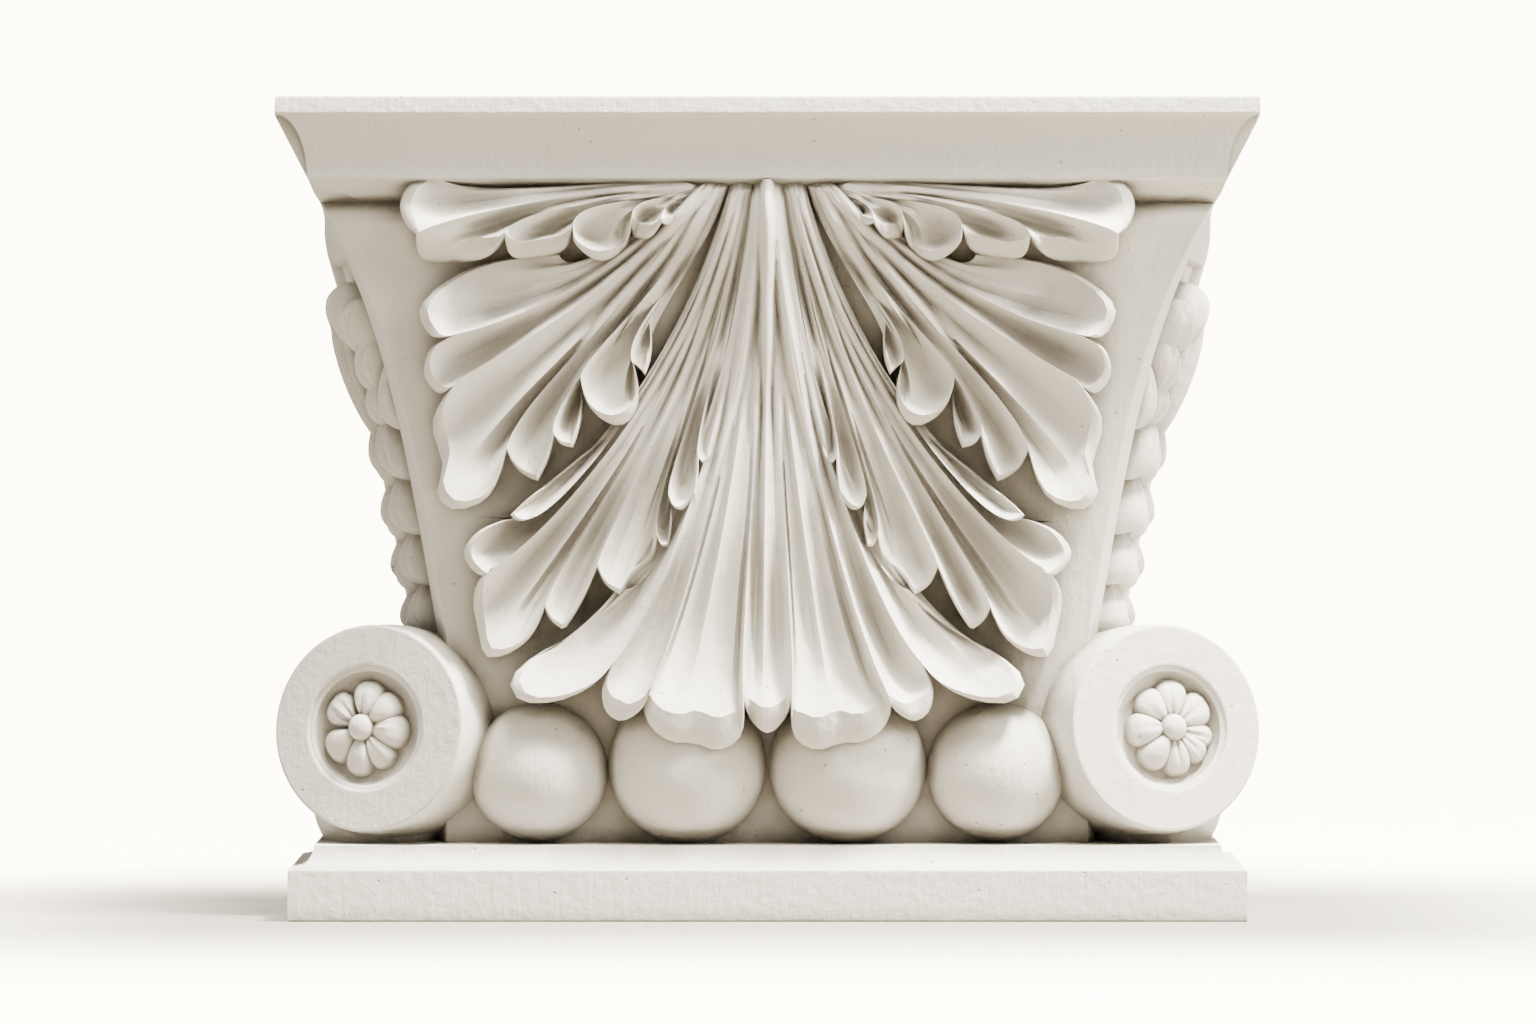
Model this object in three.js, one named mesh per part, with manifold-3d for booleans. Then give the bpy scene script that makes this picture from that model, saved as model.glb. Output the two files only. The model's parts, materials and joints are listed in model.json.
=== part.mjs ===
import * as THREE from 'three';
import { mergeVertices } from 'three/addons/utils/BufferGeometryUtils.js';
import Module from 'manifold-3d';

// Shallow carved pilaster capital, cast in one piece with a flat back.
// Millimetres. X runs across the face, the carved face looks to -Y, Z is up.
// Depths are first worked out forward from the flat back and turned into Y at the end.

// driving dimensions
const DEPTH = 165;

const abacus = {
  topZ: 412,
  filletZ: 403.5,
  coveZ: 372.5,
  soffitZ: 359.4,
  frontHalf: 245,
  draft: 0.055,
  coveIn: 15.5,
  soffitIn: 32,
  stopDepth: 148,
  stopSlope: 0.52,
};
const slab = {
  half: 240,
  draft: 0.03,
  depth: 150,
  topZ: 26,
  neckZ: 37.5,
  neckIn: 12.5,
};
const body = {
  bottomZ: 30,
  topZ: 366,
  frontDepth: 108,
  waistHalf: 163.5,
  bandWide: 24,
  bandDeep: 3,
  panelTop: 333,
  panelBottom: 120,
  panelSink: 4.5,
};
const ball = {
  depth: 108,
  inner: { x: 40.6, z: 76.6, r: 40 },
  outer: { x: 116, z: 73.2, r: 35.2 },
};
const volute = {
  x: 201.5,
  depth: 125,
  z: 95,
  turn: 20,
  pitch: 6,
  radius: 52,
  belly: 54.6,
  squash: 0.985,
  eye: 30.5,
  sink: 9,
  length: 140,
  petals: [82, 38, -8, -54, -100, -148, 144],
  heel: { x: 195, depth: 75, z: 58, size: [34.5, 40, 45] },
};

// Leaves of one side. A finger is the notch it starts at, its tip, how blunt it is, how far it
// leans to one side and how wide its cut edge is. X is out from the middle and Z is up.
const leaves = {
  first: {
    root: [[36, 369.5], [33, 364]],
    start: [[1, 0.03], [0.75, -0.66]],
    low: 13,
    rise: 7,
    curl: 4,
    edge: 9,
    lean: 0.9,
    fingers: [
      [166, 371.5, 182.3, 359.5, 1, 0.7, 6],
      [175, 343.5, 159.6, 330, 0.79, 0.6, 16],
      [131, 342.5, 115.3, 332.3, 0.65, 0.66, 10],
      [97, 347.5, 81.9, 331.2, 0.89, 1.29, 5],
      [67.5, 352, 63.8, 341.4, 1.09, 1, 7],
      [53, 349.5, 45.5, 350.1, 1.1, 0.7, 4],
    ],
    last: [39.5, 358],
  },
  second: {
    root: [[35.5, 369], [19, 369.5]],
    start: [[0.7, -0.71], [0.18, -0.98]],
    low: 8,
    rise: 11,
    curl: 7,
    edge: 2,
    lean: 0.9,
    fingers: [
      [105, 334.5, 165.4, 315.5, 0.93, 0.61, 4],
      [155.5, 294, 170.4, 274.6, 0.49, 0.78, 4],
      [155.5, 270, 161.4, 213, 0.51, 1.19, 8],
      [131, 236, 117.5, 222.6, 1.1, 1.3, 4],
      [107, 243.5, 96.2, 241, 1.1, 0.8, 3],
      [93.5, 271, 73.3, 249, 0.67, 1, 6],
      [67.5, 279.5, 60, 277, 1.1, 0.8, 3],
    ],
    last: [58.5, 299.5],
  },
  third: {
    root: [[18.5, 369.5], [7, 369.5]],
    start: [[0.22, -0.97], [0.08, -1]],
    low: 7,
    rise: 14,
    curl: 8,
    edge: 1,
    lean: 0.9,
    fingers: [
      [84.5, 241, 122.7, 208.7, 1.1, 0.7, 3],
      [117, 202.5, 150.5, 189.7, 0.64, 0.65, 4],
      [138.5, 177, 142.2, 134.6, 0.58, 1.41, 7],
      [112, 157, 100.6, 150.2, 1.1, 0.9, 3],
      [85.5, 177.5, 71.5, 167.2, 1.1, 0.7, 4],
      [55, 192.5, 49.1, 190.7, 1.08, 1.1, 3],
      [49.5, 213, 38.6, 207.9, 1.1, 1.3, 5],
    ],
    last: [34, 232],
  },
  middle: {
    root: [[7.5, 369.5], [-7.5, 369.5]],
    start: [[0.1, -1], [-0.1, -1]],
    low: 10,
    rise: 26,
    curl: 13,
    edge: 0,
    lean: 0.55,
    fingers: [
      [72, 166, 127.5, 112.6, 0.72, 0.6, 5],
      [77.5, 129.5, 77.4, 102, 0.46, 1.4, 9],
      [58.5, 118, 36.5, 87, 0.4, 1, 16],
      [12, 112.5, 0, 95, 1.1, 1, 12],
      [-12, 112.5, -36.5, 87, 0.4, 1, 16],
      [-58.5, 118, -77.4, 102, 0.47, 1.05, 9],
      [-77.5, 129.5, -127.6, 112.5, 0.74, 1.3, 5],
    ],
    last: [-72, 166],
  },
};
// Leaf on each side panel, measured along the panel from its middle line, and the drops below it.
const sideLeaf = {
  root: [[5, 330], [-1, 330]],
  start: [[1, 0.15], [0.1, -1]],
  low: 4,
  rise: 8,
  curl: 5,
  edge: 5,
  lean: 1,
  bulge: 12,
  fingers: [
    [14, 329, 34, 314, 0.6, 1, 4],
    [26, 305, 34, 288, 0.65, 1, 4],
    [23, 284, 26, 262, 0.7, 1, 4],
    [10, 268, -4, 247, 0.7, 1, 4],
  ],
  last: [-8, 262],
};
const drops = {
  tiers: [[236, 24], [204, 21], [176, 18]],
  wide: 7,
  proud: 9,
  lean: 0.5,
};

// small helpers
const wasm = await Module();
wasm.setup();

const lerp = (a, b, f) => a + (b - a) * f;
const smooth = (a, b, v) => {
  const f = Math.min(1, Math.max(0, (v - a) / (b - a)));
  return f * f * (3 - 2 * f);
};
const unit = (p) => {
  const n = Math.hypot(p[0], p[1]) || 1;
  return [p[0] / n, p[1] / n];
};
const mix = (a, b, f) => [lerp(a[0], b[0], f), lerp(a[1], b[1], f)];
const place = (x, depth, z) => new THREE.Vector3(x, DEPTH / 2 - depth, z);

const toSolid = (geometry) => {
  const g = geometry.index ? geometry.clone() : geometry;
  g.deleteAttribute('normal');
  g.deleteAttribute('uv');
  const m = mergeVertices(g, 1e-4);
  return new wasm.Manifold(new wasm.Mesh({
    numProp: 3,
    vertProperties: Float32Array.from(m.attributes.position.array),
    triVerts: Uint32Array.from(m.index.array),
  }));
};

// The same solid with its faces turned outward.
const outward = (geometry) => {
  const solid = toSolid(geometry);
  if (solid.volume() >= 0) {
    return solid;
  }
  const index = Array.from(geometry.index.array);
  for (let i = 0; i < index.length; i += 3) {
    const keep = index[i];
    index[i] = index[i + 1];
    index[i + 1] = keep;
  }
  geometry.setIndex(index);
  return toSolid(geometry);
};

// Closed skin through equal rings of points, with a fan over the first and the last ring.
const skin = (rings) => {
  const n = rings[0].length;
  const points = [];
  rings.forEach((ring) => ring.forEach((p) => points.push(p.x, p.y, p.z)));
  const index = [];
  for (let r = 0; r + 1 < rings.length; r += 1) {
    for (let c = 0; c < n; c += 1) {
      const a = r * n + c;
      const b = r * n + ((c + 1) % n);
      index.push(a, b, a + n);
      index.push(b, b + n, a + n);
    }
  }
  [0, rings.length - 1].forEach((r) => {
    const middle = rings[r].reduce((s, p) => s.add(p), new THREE.Vector3()).divideScalar(n);
    const hub = points.length / 3;
    points.push(middle.x, middle.y, middle.z);
    for (let c = 0; c < n; c += 1) {
      const a = r * n + c;
      const b = r * n + ((c + 1) % n);
      if (r === 0) {
        index.push(b, a, hub);
      } else {
        index.push(a, b, hub);
      }
    }
  });
  const g = new THREE.BufferGeometry();
  g.setAttribute('position', new THREE.Float32BufferAttribute(points, 3));
  g.setIndex(index);
  return outward(g);
};

// abacus: straight fillet, cove and sloping soffit, mitred round the front corners
const abacusRing = (inset, z, depth) => {
  const front = depth - inset;
  const halfAt = (d) => abacus.frontHalf - inset + (DEPTH - d) * abacus.draft;
  return [
    place(-halfAt(0), 0, z),
    place(-halfAt(front), front, z),
    place(halfAt(front), front, z),
    place(halfAt(0), 0, z),
  ];
};
const abacusSolid = () => {
  const rings = [abacusRing(0, abacus.topZ, DEPTH), abacusRing(0, abacus.filletZ, DEPTH)];
  const steps = 5;
  for (let i = 1; i <= steps; i += 1) {
    const a = (i / steps) * (Math.PI / 2);
    const inset = abacus.coveIn * Math.sin(a);
    const z = lerp(abacus.coveZ, abacus.filletZ, Math.cos(a));
    rings.push(abacusRing(inset, z, DEPTH));
  }
  rings.push(abacusRing(abacus.soffitIn, abacus.soffitZ, DEPTH));
  rings.push(abacusRing(abacus.soffitIn + 17, abacus.soffitZ - 13, DEPTH));
  // plain sloping block that ends the moulding, its front face just behind the cove
  const slopeFrom = abacus.frontHalf + DEPTH * abacus.draft;
  const stopRing = (z, front) => {
    const halfAt = (d) => slopeFrom - 0.05 * d - abacus.stopSlope * Math.max(0, abacus.filletZ - z);
    return [
      place(-halfAt(0), 0, z),
      place(-halfAt(front), front, z),
      place(halfAt(front), front, z),
      place(halfAt(0), 0, z),
    ];
  };
  const fall = abacus.stopDepth - (DEPTH - abacus.soffitIn) + 1.5;
  const stop = [
    stopRing(abacus.topZ - 2, abacus.stopDepth),
    stopRing(abacus.filletZ, abacus.stopDepth),
    stopRing(abacus.coveZ, abacus.stopDepth),
    stopRing(abacus.soffitZ, abacus.stopDepth - fall),
    stopRing(abacus.soffitZ - 7.4, abacus.stopDepth - fall - 9),
  ];
  return skin(rings).add(skin(stop));
};

// foot slab: plain block with a cavetto up to the row of balls
const slabRing = (inset, z) => {
  const halfAt = (d) => slab.half - inset + (slab.depth - d) * slab.draft;
  const front = slab.depth - inset;
  return [
    place(-halfAt(0), 0, z),
    place(-halfAt(front), front, z),
    place(halfAt(front), front, z),
    place(halfAt(0), 0, z),
  ];
};
const slabSolid = () => {
  const rings = [slabRing(0, 0), slabRing(0, slab.topZ)];
  const steps = 5;
  for (let i = 1; i <= steps; i += 1) {
    const a = (i / steps) * (Math.PI / 2);
    const inset = slab.neckIn * Math.sin(a);
    rings.push(slabRing(inset, lerp(slab.neckZ, slab.topZ, Math.cos(a))));
  }
  return skin(rings);
};

// body: flared block, wider at the back, with a sunk panel on each side
const frontHalf = (z) => {
  const f = Math.max(0, z - 142);
  return body.waistHalf + 0.163 * f + 23.5 * (f / 212) ** 4;
};
const backHalf = (z) => {
  const f = Math.max(0, z - 139);
  const over = Math.max(0, z - 337);
  return 186 + 0.19 * f + 7 * (f / 198) ** 3 - 5 * (over / 23) ** 2;
};
const faceDepth = (z) => body.frontDepth + 0.41 * (frontHalf(Math.min(z, 352)) - body.waistHalf);
const bandDepth = (z) => body.bandDeep * smooth(285, 356, z);
// One point of the right-hand side face: v is 0 at the front arris and 1 at the back.
const sidePoint = (v, z, out) => {
  const d0 = faceDepth(z) - bandDepth(z);
  const slope = unit([backHalf(z) - frontHalf(z), d0]);
  const x = lerp(frontHalf(z), backHalf(z), v) + out * slope[1];
  const d = d0 * (1 - v) + out * slope[0];
  return [x, d];
};
const bodyRing = (z, sunk) => {
  const right = [];
  const inset = sunk ? -body.panelSink : 0;
  right.push([1, 0], [0.9, 0], [0.87, inset], [0.24, inset], [0.21, 0], [0, 0]);
  const side = right.map(([v, out]) => sidePoint(v, z, out));
  side.push([frontHalf(z) - body.bandWide, faceDepth(z)]);
  const ring = side.map(([x, d]) => place(x, d, z));
  side.slice().reverse().forEach(([x, d]) => ring.push(place(-x, d, z)));
  return ring;
};
const bodySolid = () => {
  const rings = [bodyRing(body.topZ, false), bodyRing(352, false)];
  rings.push(bodyRing(body.panelTop + 2, false));
  [body.panelTop, 312, 285, 250, 205, 160, body.panelBottom].forEach((z) => {
    rings.push(bodyRing(z, true));
  });
  rings.push(bodyRing(body.panelBottom - 2, false), bodyRing(body.bottomZ, false));
  return skin(rings);
};

// Compound leaf: flutes run from a short root line out to a row of fingers. Each flute is drawn
// towards the throat of its finger, a point behind its two notches, and then out to the edge.
const fingerEnds = (leaf, i) => {
  const here = leaf.fingers[i];
  const next = i + 1 < leaf.fingers.length ? leaf.fingers[i + 1] : leaf.last;
  const middle = [(here[0] + next[0]) / 2, (here[1] + next[1]) / 2];
  const reach = [here[2] - middle[0], here[3] - middle[1]];
  const size = Math.hypot(reach[0], reach[1]);
  const back = (10 + 0.5 * size) / size;
  return { here, next, reach, throat: [middle[0] - reach[0] * back, middle[1] - reach[1] * back] };
};
const outline = (leaf, t) => {
  const count = leaf.fingers.length;
  const i = Math.min(Math.floor(t * count), count - 1);
  const { here, next, reach } = fingerEnds(leaf, i);
  const u = Math.min(1, t * count - i);
  const turn = Math.PI * u ** here[5];
  const point = mix(here, next, (1 - Math.cos(turn)) / 2);
  const along = Math.max(0, Math.sin(turn)) ** here[4];
  const wide = 1.6 + (here[6] - 1.6) * Math.sin(Math.PI * u) ** 0.7;
  return { point: [point[0] + reach[0] * along, point[1] + reach[1] * along], u, wide };
};
const throatAt = (leaf, t) => {
  const count = leaf.fingers.length;
  const spot = Math.min(Math.max(t * count - 0.5, 0), count - 1);
  const i = Math.min(Math.floor(spot), count - 1);
  const j = Math.min(i + 1, count - 1);
  return mix(fingerEnds(leaf, i).throat, fingerEnds(leaf, j).throat, spot - i);
};
const flutePoint = (leaf, t, s) => {
  const end = outline(leaf, t).point;
  const root = mix(leaf.root[0], leaf.root[1], t);
  const first = unit(mix(leaf.start[0], leaf.start[1], t));
  const span = Math.hypot(end[0] - root[0], end[1] - root[1]);
  const p1 = [root[0] + first[0] * span * 0.42, root[1] + first[1] * span * 0.42];
  const p2 = mix(end, throatAt(leaf, t), 0.8);
  const w = [(1 - s) ** 3, 3 * s * (1 - s) ** 2, 3 * s * s * (1 - s), s ** 3];
  return [0, 1].map((k) => w[0] * root[k] + w[1] * p1[k] + w[2] * p2[k] + w[3] * end[k]);
};
const leafSolid = (leaf, map, perFinger, rows) => {
  const columns = leaf.fingers.length * perFinger;
  const rings = [];
  for (let c = 0; c <= columns; c += 1) {
    const t = c / columns;
    const { u, wide } = outline(leaf, t);
    const end = flutePoint(leaf, t, 1);
    const root = flutePoint(leaf, t, 0);
    const span = Math.hypot(end[0] - root[0], end[1] - root[1]);
    const rimAt = 1 - wide / span;
    const ridge = Math.abs(Math.cos(Math.PI * u)) ** 1.6;
    const roll = leaf.edge * (1 - smooth(0, 0.07, t));
    const ring = [];
    let top = 0;
    for (let r = 0; r <= rows; r += 1) {
      const q = 1 - (1 - r / rows) ** 1.25;
      const flute = 5 * ridge * Math.sin(Math.PI * Math.min(1, 0.12 + q * 0.8));
      const bulge = (leaf.bulge ?? 0) * Math.sin(Math.PI * q ** 0.95);
      top = leaf.low + leaf.rise * q ** 1.7 + leaf.curl * q ** 7 + flute + bulge - roll;
      top += 7 * (1 - smooth(0, 0.45, q)) - 7 * (1 - smooth(0, 0.06, q));
      ring.push(map(flutePoint(leaf, t, rimAt * q), top));
    }
    const bottom = Math.max(top - leaf.lean * wide - 2, 0.15 * top);
    ring.push(map(end, bottom));
    ring.push(map(flutePoint(leaf, t, 1 - (0.15 * wide) / span), -6));
    ring.push(map(flutePoint(leaf, t, 0.5), -6));
    ring.push(map(root, -6));
    rings.push(ring);
  }
  return skin(rings);
};
const onFront = (sign) => (p, h) => place(sign * p[0], faceDepth(p[1]) + h, p[1]);
const onSide = (sign, flip) => (p, h) => {
  const z = p[1];
  const v = 0.56 + (flip * p[0]) / (faceDepth(z) - bandDepth(z));
  const [x, d] = sidePoint(v, z, h - body.panelSink);
  return place(sign * x, d, z);
};
const dropSolid = (sign, at, z, half, lean) => {
  const g = new THREE.SphereGeometry(1, 6, 4);
  const map = onSide(sign, 1);
  const position = g.attributes.position;
  for (let i = 0; i < position.count; i += 1) {
    const taper = 0.62 - 0.38 * position.getY(i);
    const a = at + position.getX(i) * drops.wide * taper + lean * position.getY(i) * half * -0.4;
    const p = map([a, z + position.getY(i) * half], position.getZ(i) * drops.proud * taper + 1);
    position.setXYZ(i, p.x, p.y, p.z);
  }
  return outward(g);
};

const parts = [abacusSolid(), slabSolid(), bodySolid()];
parts.push(leafSolid(leaves.middle, onFront(1), 4, 4));
[-1, 1].forEach((sign) => {
  ['first', 'second', 'third'].forEach((name) => {
    parts.push(leafSolid(leaves[name], onFront(sign), 4, 4));
  });
  [-1, 1].forEach((flip) => parts.push(leafSolid(sideLeaf, onSide(sign, flip), 4, 3)));
  drops.tiers.forEach(([z, half]) => {
    [-1, 0, 1].forEach((k) => {
      parts.push(dropSolid(sign, k * 12, z + Math.abs(k) * 5, half, k * drops.lean));
    });
  });
  [ball.inner, ball.outer].forEach((b) => {
    const g = new THREE.SphereGeometry(b.r, 12, 8);
    const c = place(sign * b.x, ball.depth, b.z);
    g.translate(c.x, c.y, c.z);
    parts.push(toSolid(g));
  });
});

// volutes: a swelling drum with a sunk eye and a seven-petalled flower
const voluteSolid = (sign) => {
  const R = volute.radius;
  const L = volute.length;
  const profile = [
    [0, -L],
    [R * 0.96, -L],
    [volute.belly, -L * 0.55],
    [volute.belly, -L * 0.28],
    [R + 0.6, -3],
    [R - 1.2, 0],
    [volute.eye + 1.6, 0],
    [volute.eye, -2],
    [volute.eye - 2, -volute.sink],
    [0, -volute.sink],
  ].map(([r, a]) => new THREE.Vector2(r, a));
  let solid = toSolid(new THREE.LatheGeometry(profile, 18));
  if (solid.volume() < 0) {
    solid = solid.mirror([1, 0, 0]);
  }
  volute.petals.forEach((degrees) => {
    const petal = new THREE.SphereGeometry(1, 6, 4);
    petal.scale(10.6, 7.4, 9.4);
    petal.translate(0, -volute.sink + 1.5, 14.8);
    petal.rotateY(-sign * THREE.MathUtils.degToRad(degrees - 90));
    solid = solid.add(toSolid(petal));
  });
  const button = new THREE.SphereGeometry(7, 10, 7);
  button.translate(0, -volute.sink + 5, 0);
  solid = solid.add(toSolid(button));
  const turn = THREE.MathUtils.degToRad(volute.turn);
  const pitch = THREE.MathUtils.degToRad(volute.pitch);
  const facing = new THREE.Vector3(sign * Math.sin(turn), -Math.cos(turn), Math.tan(pitch));
  facing.normalize();
  const up = new THREE.Vector3(0, 0, 1).projectOnPlane(facing).normalize();
  const across = new THREE.Vector3().crossVectors(facing, up);
  const turned = new THREE.Matrix4().makeBasis(across, facing, up);
  turned.multiply(new THREE.Matrix4().makeScale(volute.squash, 1, 1));
  const c = place(sign * volute.x, volute.depth, volute.z);
  turned.setPosition(c);
  // rounded heel under the drum, resting on the slab
  const { x, depth, z, size } = volute.heel;
  const heel = new THREE.SphereGeometry(1, 14, 8);
  heel.rotateX(Math.PI / 2);
  heel.scale(size[0], size[2], size[1]);
  const foot = place(sign * x, depth, z);
  heel.translate(foot.x, foot.y, foot.z);
  return solid.transform(turned.elements).add(toSolid(heel));
};
[-1, 1].forEach((sign) => parts.push(voluteSolid(sign)));

let whole = wasm.Manifold.union(parts);
// the back and the underside are dead flat, and the casting is solid all through
whole = whole.trimByPlane([0, -1, 0], -DEPTH / 2);
whole = whole.trimByPlane([0, 0, 1], 0);
whole = whole.decompose().sort((a, b) => b.volume() - a.volume())[0];
whole = whole.simplify(0.4);

const mesh = whole.getMesh();
const geometry = new THREE.BufferGeometry();
geometry.setAttribute('position', new THREE.BufferAttribute(mesh.vertProperties, 3));
geometry.setIndex(new THREE.BufferAttribute(mesh.triVerts, 1));
const plaster = new THREE.MeshStandardMaterial({ color: 0xe4e1da, roughness: 0.85, metalness: 0 });
const capital = new THREE.Mesh(geometry, plaster);
capital.name = 'capital';
const group = new THREE.Group();
group.add(capital);

export default group;
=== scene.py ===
"""Shallow cast pilaster capital on a pale studio floor.

The capital is one off-white plaster casting: a moulded top, a flared body with sunk side panels,
a fan of acanthus leaves, a row of balls, a scroll drum at each lower corner and a foot slab.
Sizes are millimetres with X across the face, depth measured forward from the flat back, and Z up.
They become metres, with the face towards -Y, only when a mesh is handed to Blender.
"""

import json
import logging
import math
from dataclasses import dataclass, field, replace
from typing import Any

import bpy
import numpy as np
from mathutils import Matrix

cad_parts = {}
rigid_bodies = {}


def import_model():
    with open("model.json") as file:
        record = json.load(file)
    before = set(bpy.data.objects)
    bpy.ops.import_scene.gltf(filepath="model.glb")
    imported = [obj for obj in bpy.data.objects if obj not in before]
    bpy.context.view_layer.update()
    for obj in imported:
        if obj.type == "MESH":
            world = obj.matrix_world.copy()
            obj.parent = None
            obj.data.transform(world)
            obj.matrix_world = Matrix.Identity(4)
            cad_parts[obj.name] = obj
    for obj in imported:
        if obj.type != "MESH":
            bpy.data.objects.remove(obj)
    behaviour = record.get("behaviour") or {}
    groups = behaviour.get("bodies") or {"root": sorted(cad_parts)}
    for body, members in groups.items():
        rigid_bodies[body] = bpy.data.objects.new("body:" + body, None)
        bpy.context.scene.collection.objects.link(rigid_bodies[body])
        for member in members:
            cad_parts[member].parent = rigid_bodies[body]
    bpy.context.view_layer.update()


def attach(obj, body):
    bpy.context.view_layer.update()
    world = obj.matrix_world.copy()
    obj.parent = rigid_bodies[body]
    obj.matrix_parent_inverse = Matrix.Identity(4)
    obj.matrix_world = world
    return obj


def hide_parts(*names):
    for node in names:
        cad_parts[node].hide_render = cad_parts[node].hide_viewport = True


LOG = logging.getLogger("capital")
Array = np.ndarray

WIDTH = 508.0
DEPTH = 165.0
MM = 0.001


# shells


@dataclass
class Shell:
    """A closed skin of points and faces, in millimetres (x, depth, z)."""

    points: Array
    quads: Array
    triangles: Array

    def mirrored(self) -> "Shell":
        """Return the same shell turned over to the other side of the middle line."""
        flipped = self.points * np.array([-1.0, 1.0, 1.0])
        return Shell(flipped, self.quads[:, ::-1], self.triangles[:, ::-1])

    def volume(self) -> float:
        """Return the signed volume: the sum of the tetrahedra from the origin to each face."""
        tris = np.vstack([self.triangles, self.quads[:, [0, 1, 2]], self.quads[:, [0, 2, 3]]])
        a, b, c = (self.points[tris[:, i]] for i in range(3))
        return float(np.einsum("ij,ij->i", a, np.cross(b, c)).sum() / 6.0)

    def outward(self) -> "Shell":
        """Return the shell with every face pointing out once depth has become -Y.

        Turning depth into -Y reverses the winding, so here the signed volume has to be negative.
        """
        if self.volume() < 0:
            return self
        return Shell(self.points, self.quads[:, ::-1], self.triangles[:, ::-1])


def smooth(low: float, high: float, value: Array) -> Array:
    """Ease from 0 at low to 1 at high, flat at both ends (three f squared less two f cubed)."""
    f = np.clip((np.asarray(value, float) - low) / (high - low), 0.0, 1.0)
    return f * f * (3.0 - 2.0 * f)


def grid_quads(rows: int, columns: int, wrap: bool) -> Array:
    """Number the quads of a grid of points stored row by row.

    Args:
        rows: Number of rows of points.
        columns: Number of points in each row.
        wrap: Whether each row closes on itself.

    Returns:
        Quads as an (n, 4) array of point numbers.
    """
    last = columns if wrap else columns - 1
    r, c = np.meshgrid(np.arange(rows - 1), np.arange(last), indexing="ij")
    a = r * columns + c
    b = r * columns + (c + 1) % columns
    return np.stack([a, b, b + columns, a + columns], axis=-1).reshape(-1, 4)


def rings_shell(rings: Array) -> Shell:
    """Skin a stack of equal rings and close both ends with a fan round the ring's middle.

    Args:
        rings: (rows, columns, 3) array of points.

    Returns:
        A closed shell.
    """
    rows, columns = rings.shape[:2]
    hubs = np.stack([rings[0].mean(axis=0), rings[-1].mean(axis=0)])
    points = np.vstack([rings.reshape(-1, 3), hubs])
    c = np.arange(columns)
    d = (c + 1) % columns
    first = np.full(columns, rows * columns)
    start = np.stack([d, c, first], axis=-1)
    base = (rows - 1) * columns
    end = np.stack([base + c, base + d, first + 1], axis=-1)
    return Shell(points, grid_quads(rows, columns, True), np.vstack([start, end])).outward()


def turned_shell(profile: Array, segments: int) -> Shell:
    """Turn a profile of (radius, height) round the height axis, with a point at each end.

    Args:
        profile: (n, 2) array whose first and last radius are on the axis and left out as rings.
        segments: Number of steps round.

    Returns:
        A closed shell whose axis is Z.
    """
    angle = np.arange(segments) * (2.0 * math.pi / segments)
    inner = profile[1:-1]
    x = inner[:, :1] * np.cos(angle)
    y = inner[:, :1] * np.sin(angle)
    z = np.repeat(inner[:, 1:], segments, axis=1)
    rings = np.stack([x, y, z], axis=-1)
    shell = rings_shell(rings)
    shell.points[-2] = (0.0, 0.0, profile[0, 1])
    shell.points[-1] = (0.0, 0.0, profile[-1, 1])
    return shell.outward()


def sheet_shell(top: Array, wall: Array, back: Array) -> Shell:
    """Close a carved sheet: its face, the wall past its rim, its back and its two side edges.

    Args:
        top: (columns, rows, 3) points of the face, rim last.
        wall: (columns, steps, 3) points from just past the rim down to the heel.
        back: (columns, rows, 3) points under the face.

    Returns:
        A closed shell.
    """
    columns, rows = top.shape[:2]
    steps = wall.shape[1]
    rings = np.concatenate([top, wall, back[:, ::-1]], axis=1)
    size = rings.shape[1]
    quads = grid_quads(columns, size, True)
    k = np.arange(rows - 1)
    under = size - 1 - k
    side = np.stack([k, k + 1, under - 1, under], axis=-1)
    lip = rows - 1 + np.arange(steps)
    corner = np.full(steps, rows + steps)
    web = np.stack([lip, lip + 1, corner], axis=-1)
    last = (columns - 1) * size
    quads = np.vstack([quads, side[:, ::-1], side + last])
    triangles = np.vstack([web[:, ::-1], web + last])
    return Shell(rings.reshape(-1, 3), quads, triangles).outward()


# mouldings


def cornered(back_half: Array, front_half: Array, front: Array, z: Array) -> Array:
    """Stack level rings of four corners, two on the flat back and two at the front.

    Args:
        back_half: Half width of each ring at the back.
        front_half: Half width of each ring at the front.
        front: Depth of each ring's front.
        z: Height of each ring.

    Returns:
        (rings, 4, 3) points.
    """
    x = np.stack([-back_half, -front_half, front_half, back_half], axis=-1)
    d = np.stack([0 * front, front, front, 0 * front], axis=-1)
    return np.stack([x, d, np.repeat(z[:, None], 4, axis=1)], axis=-1)


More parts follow.
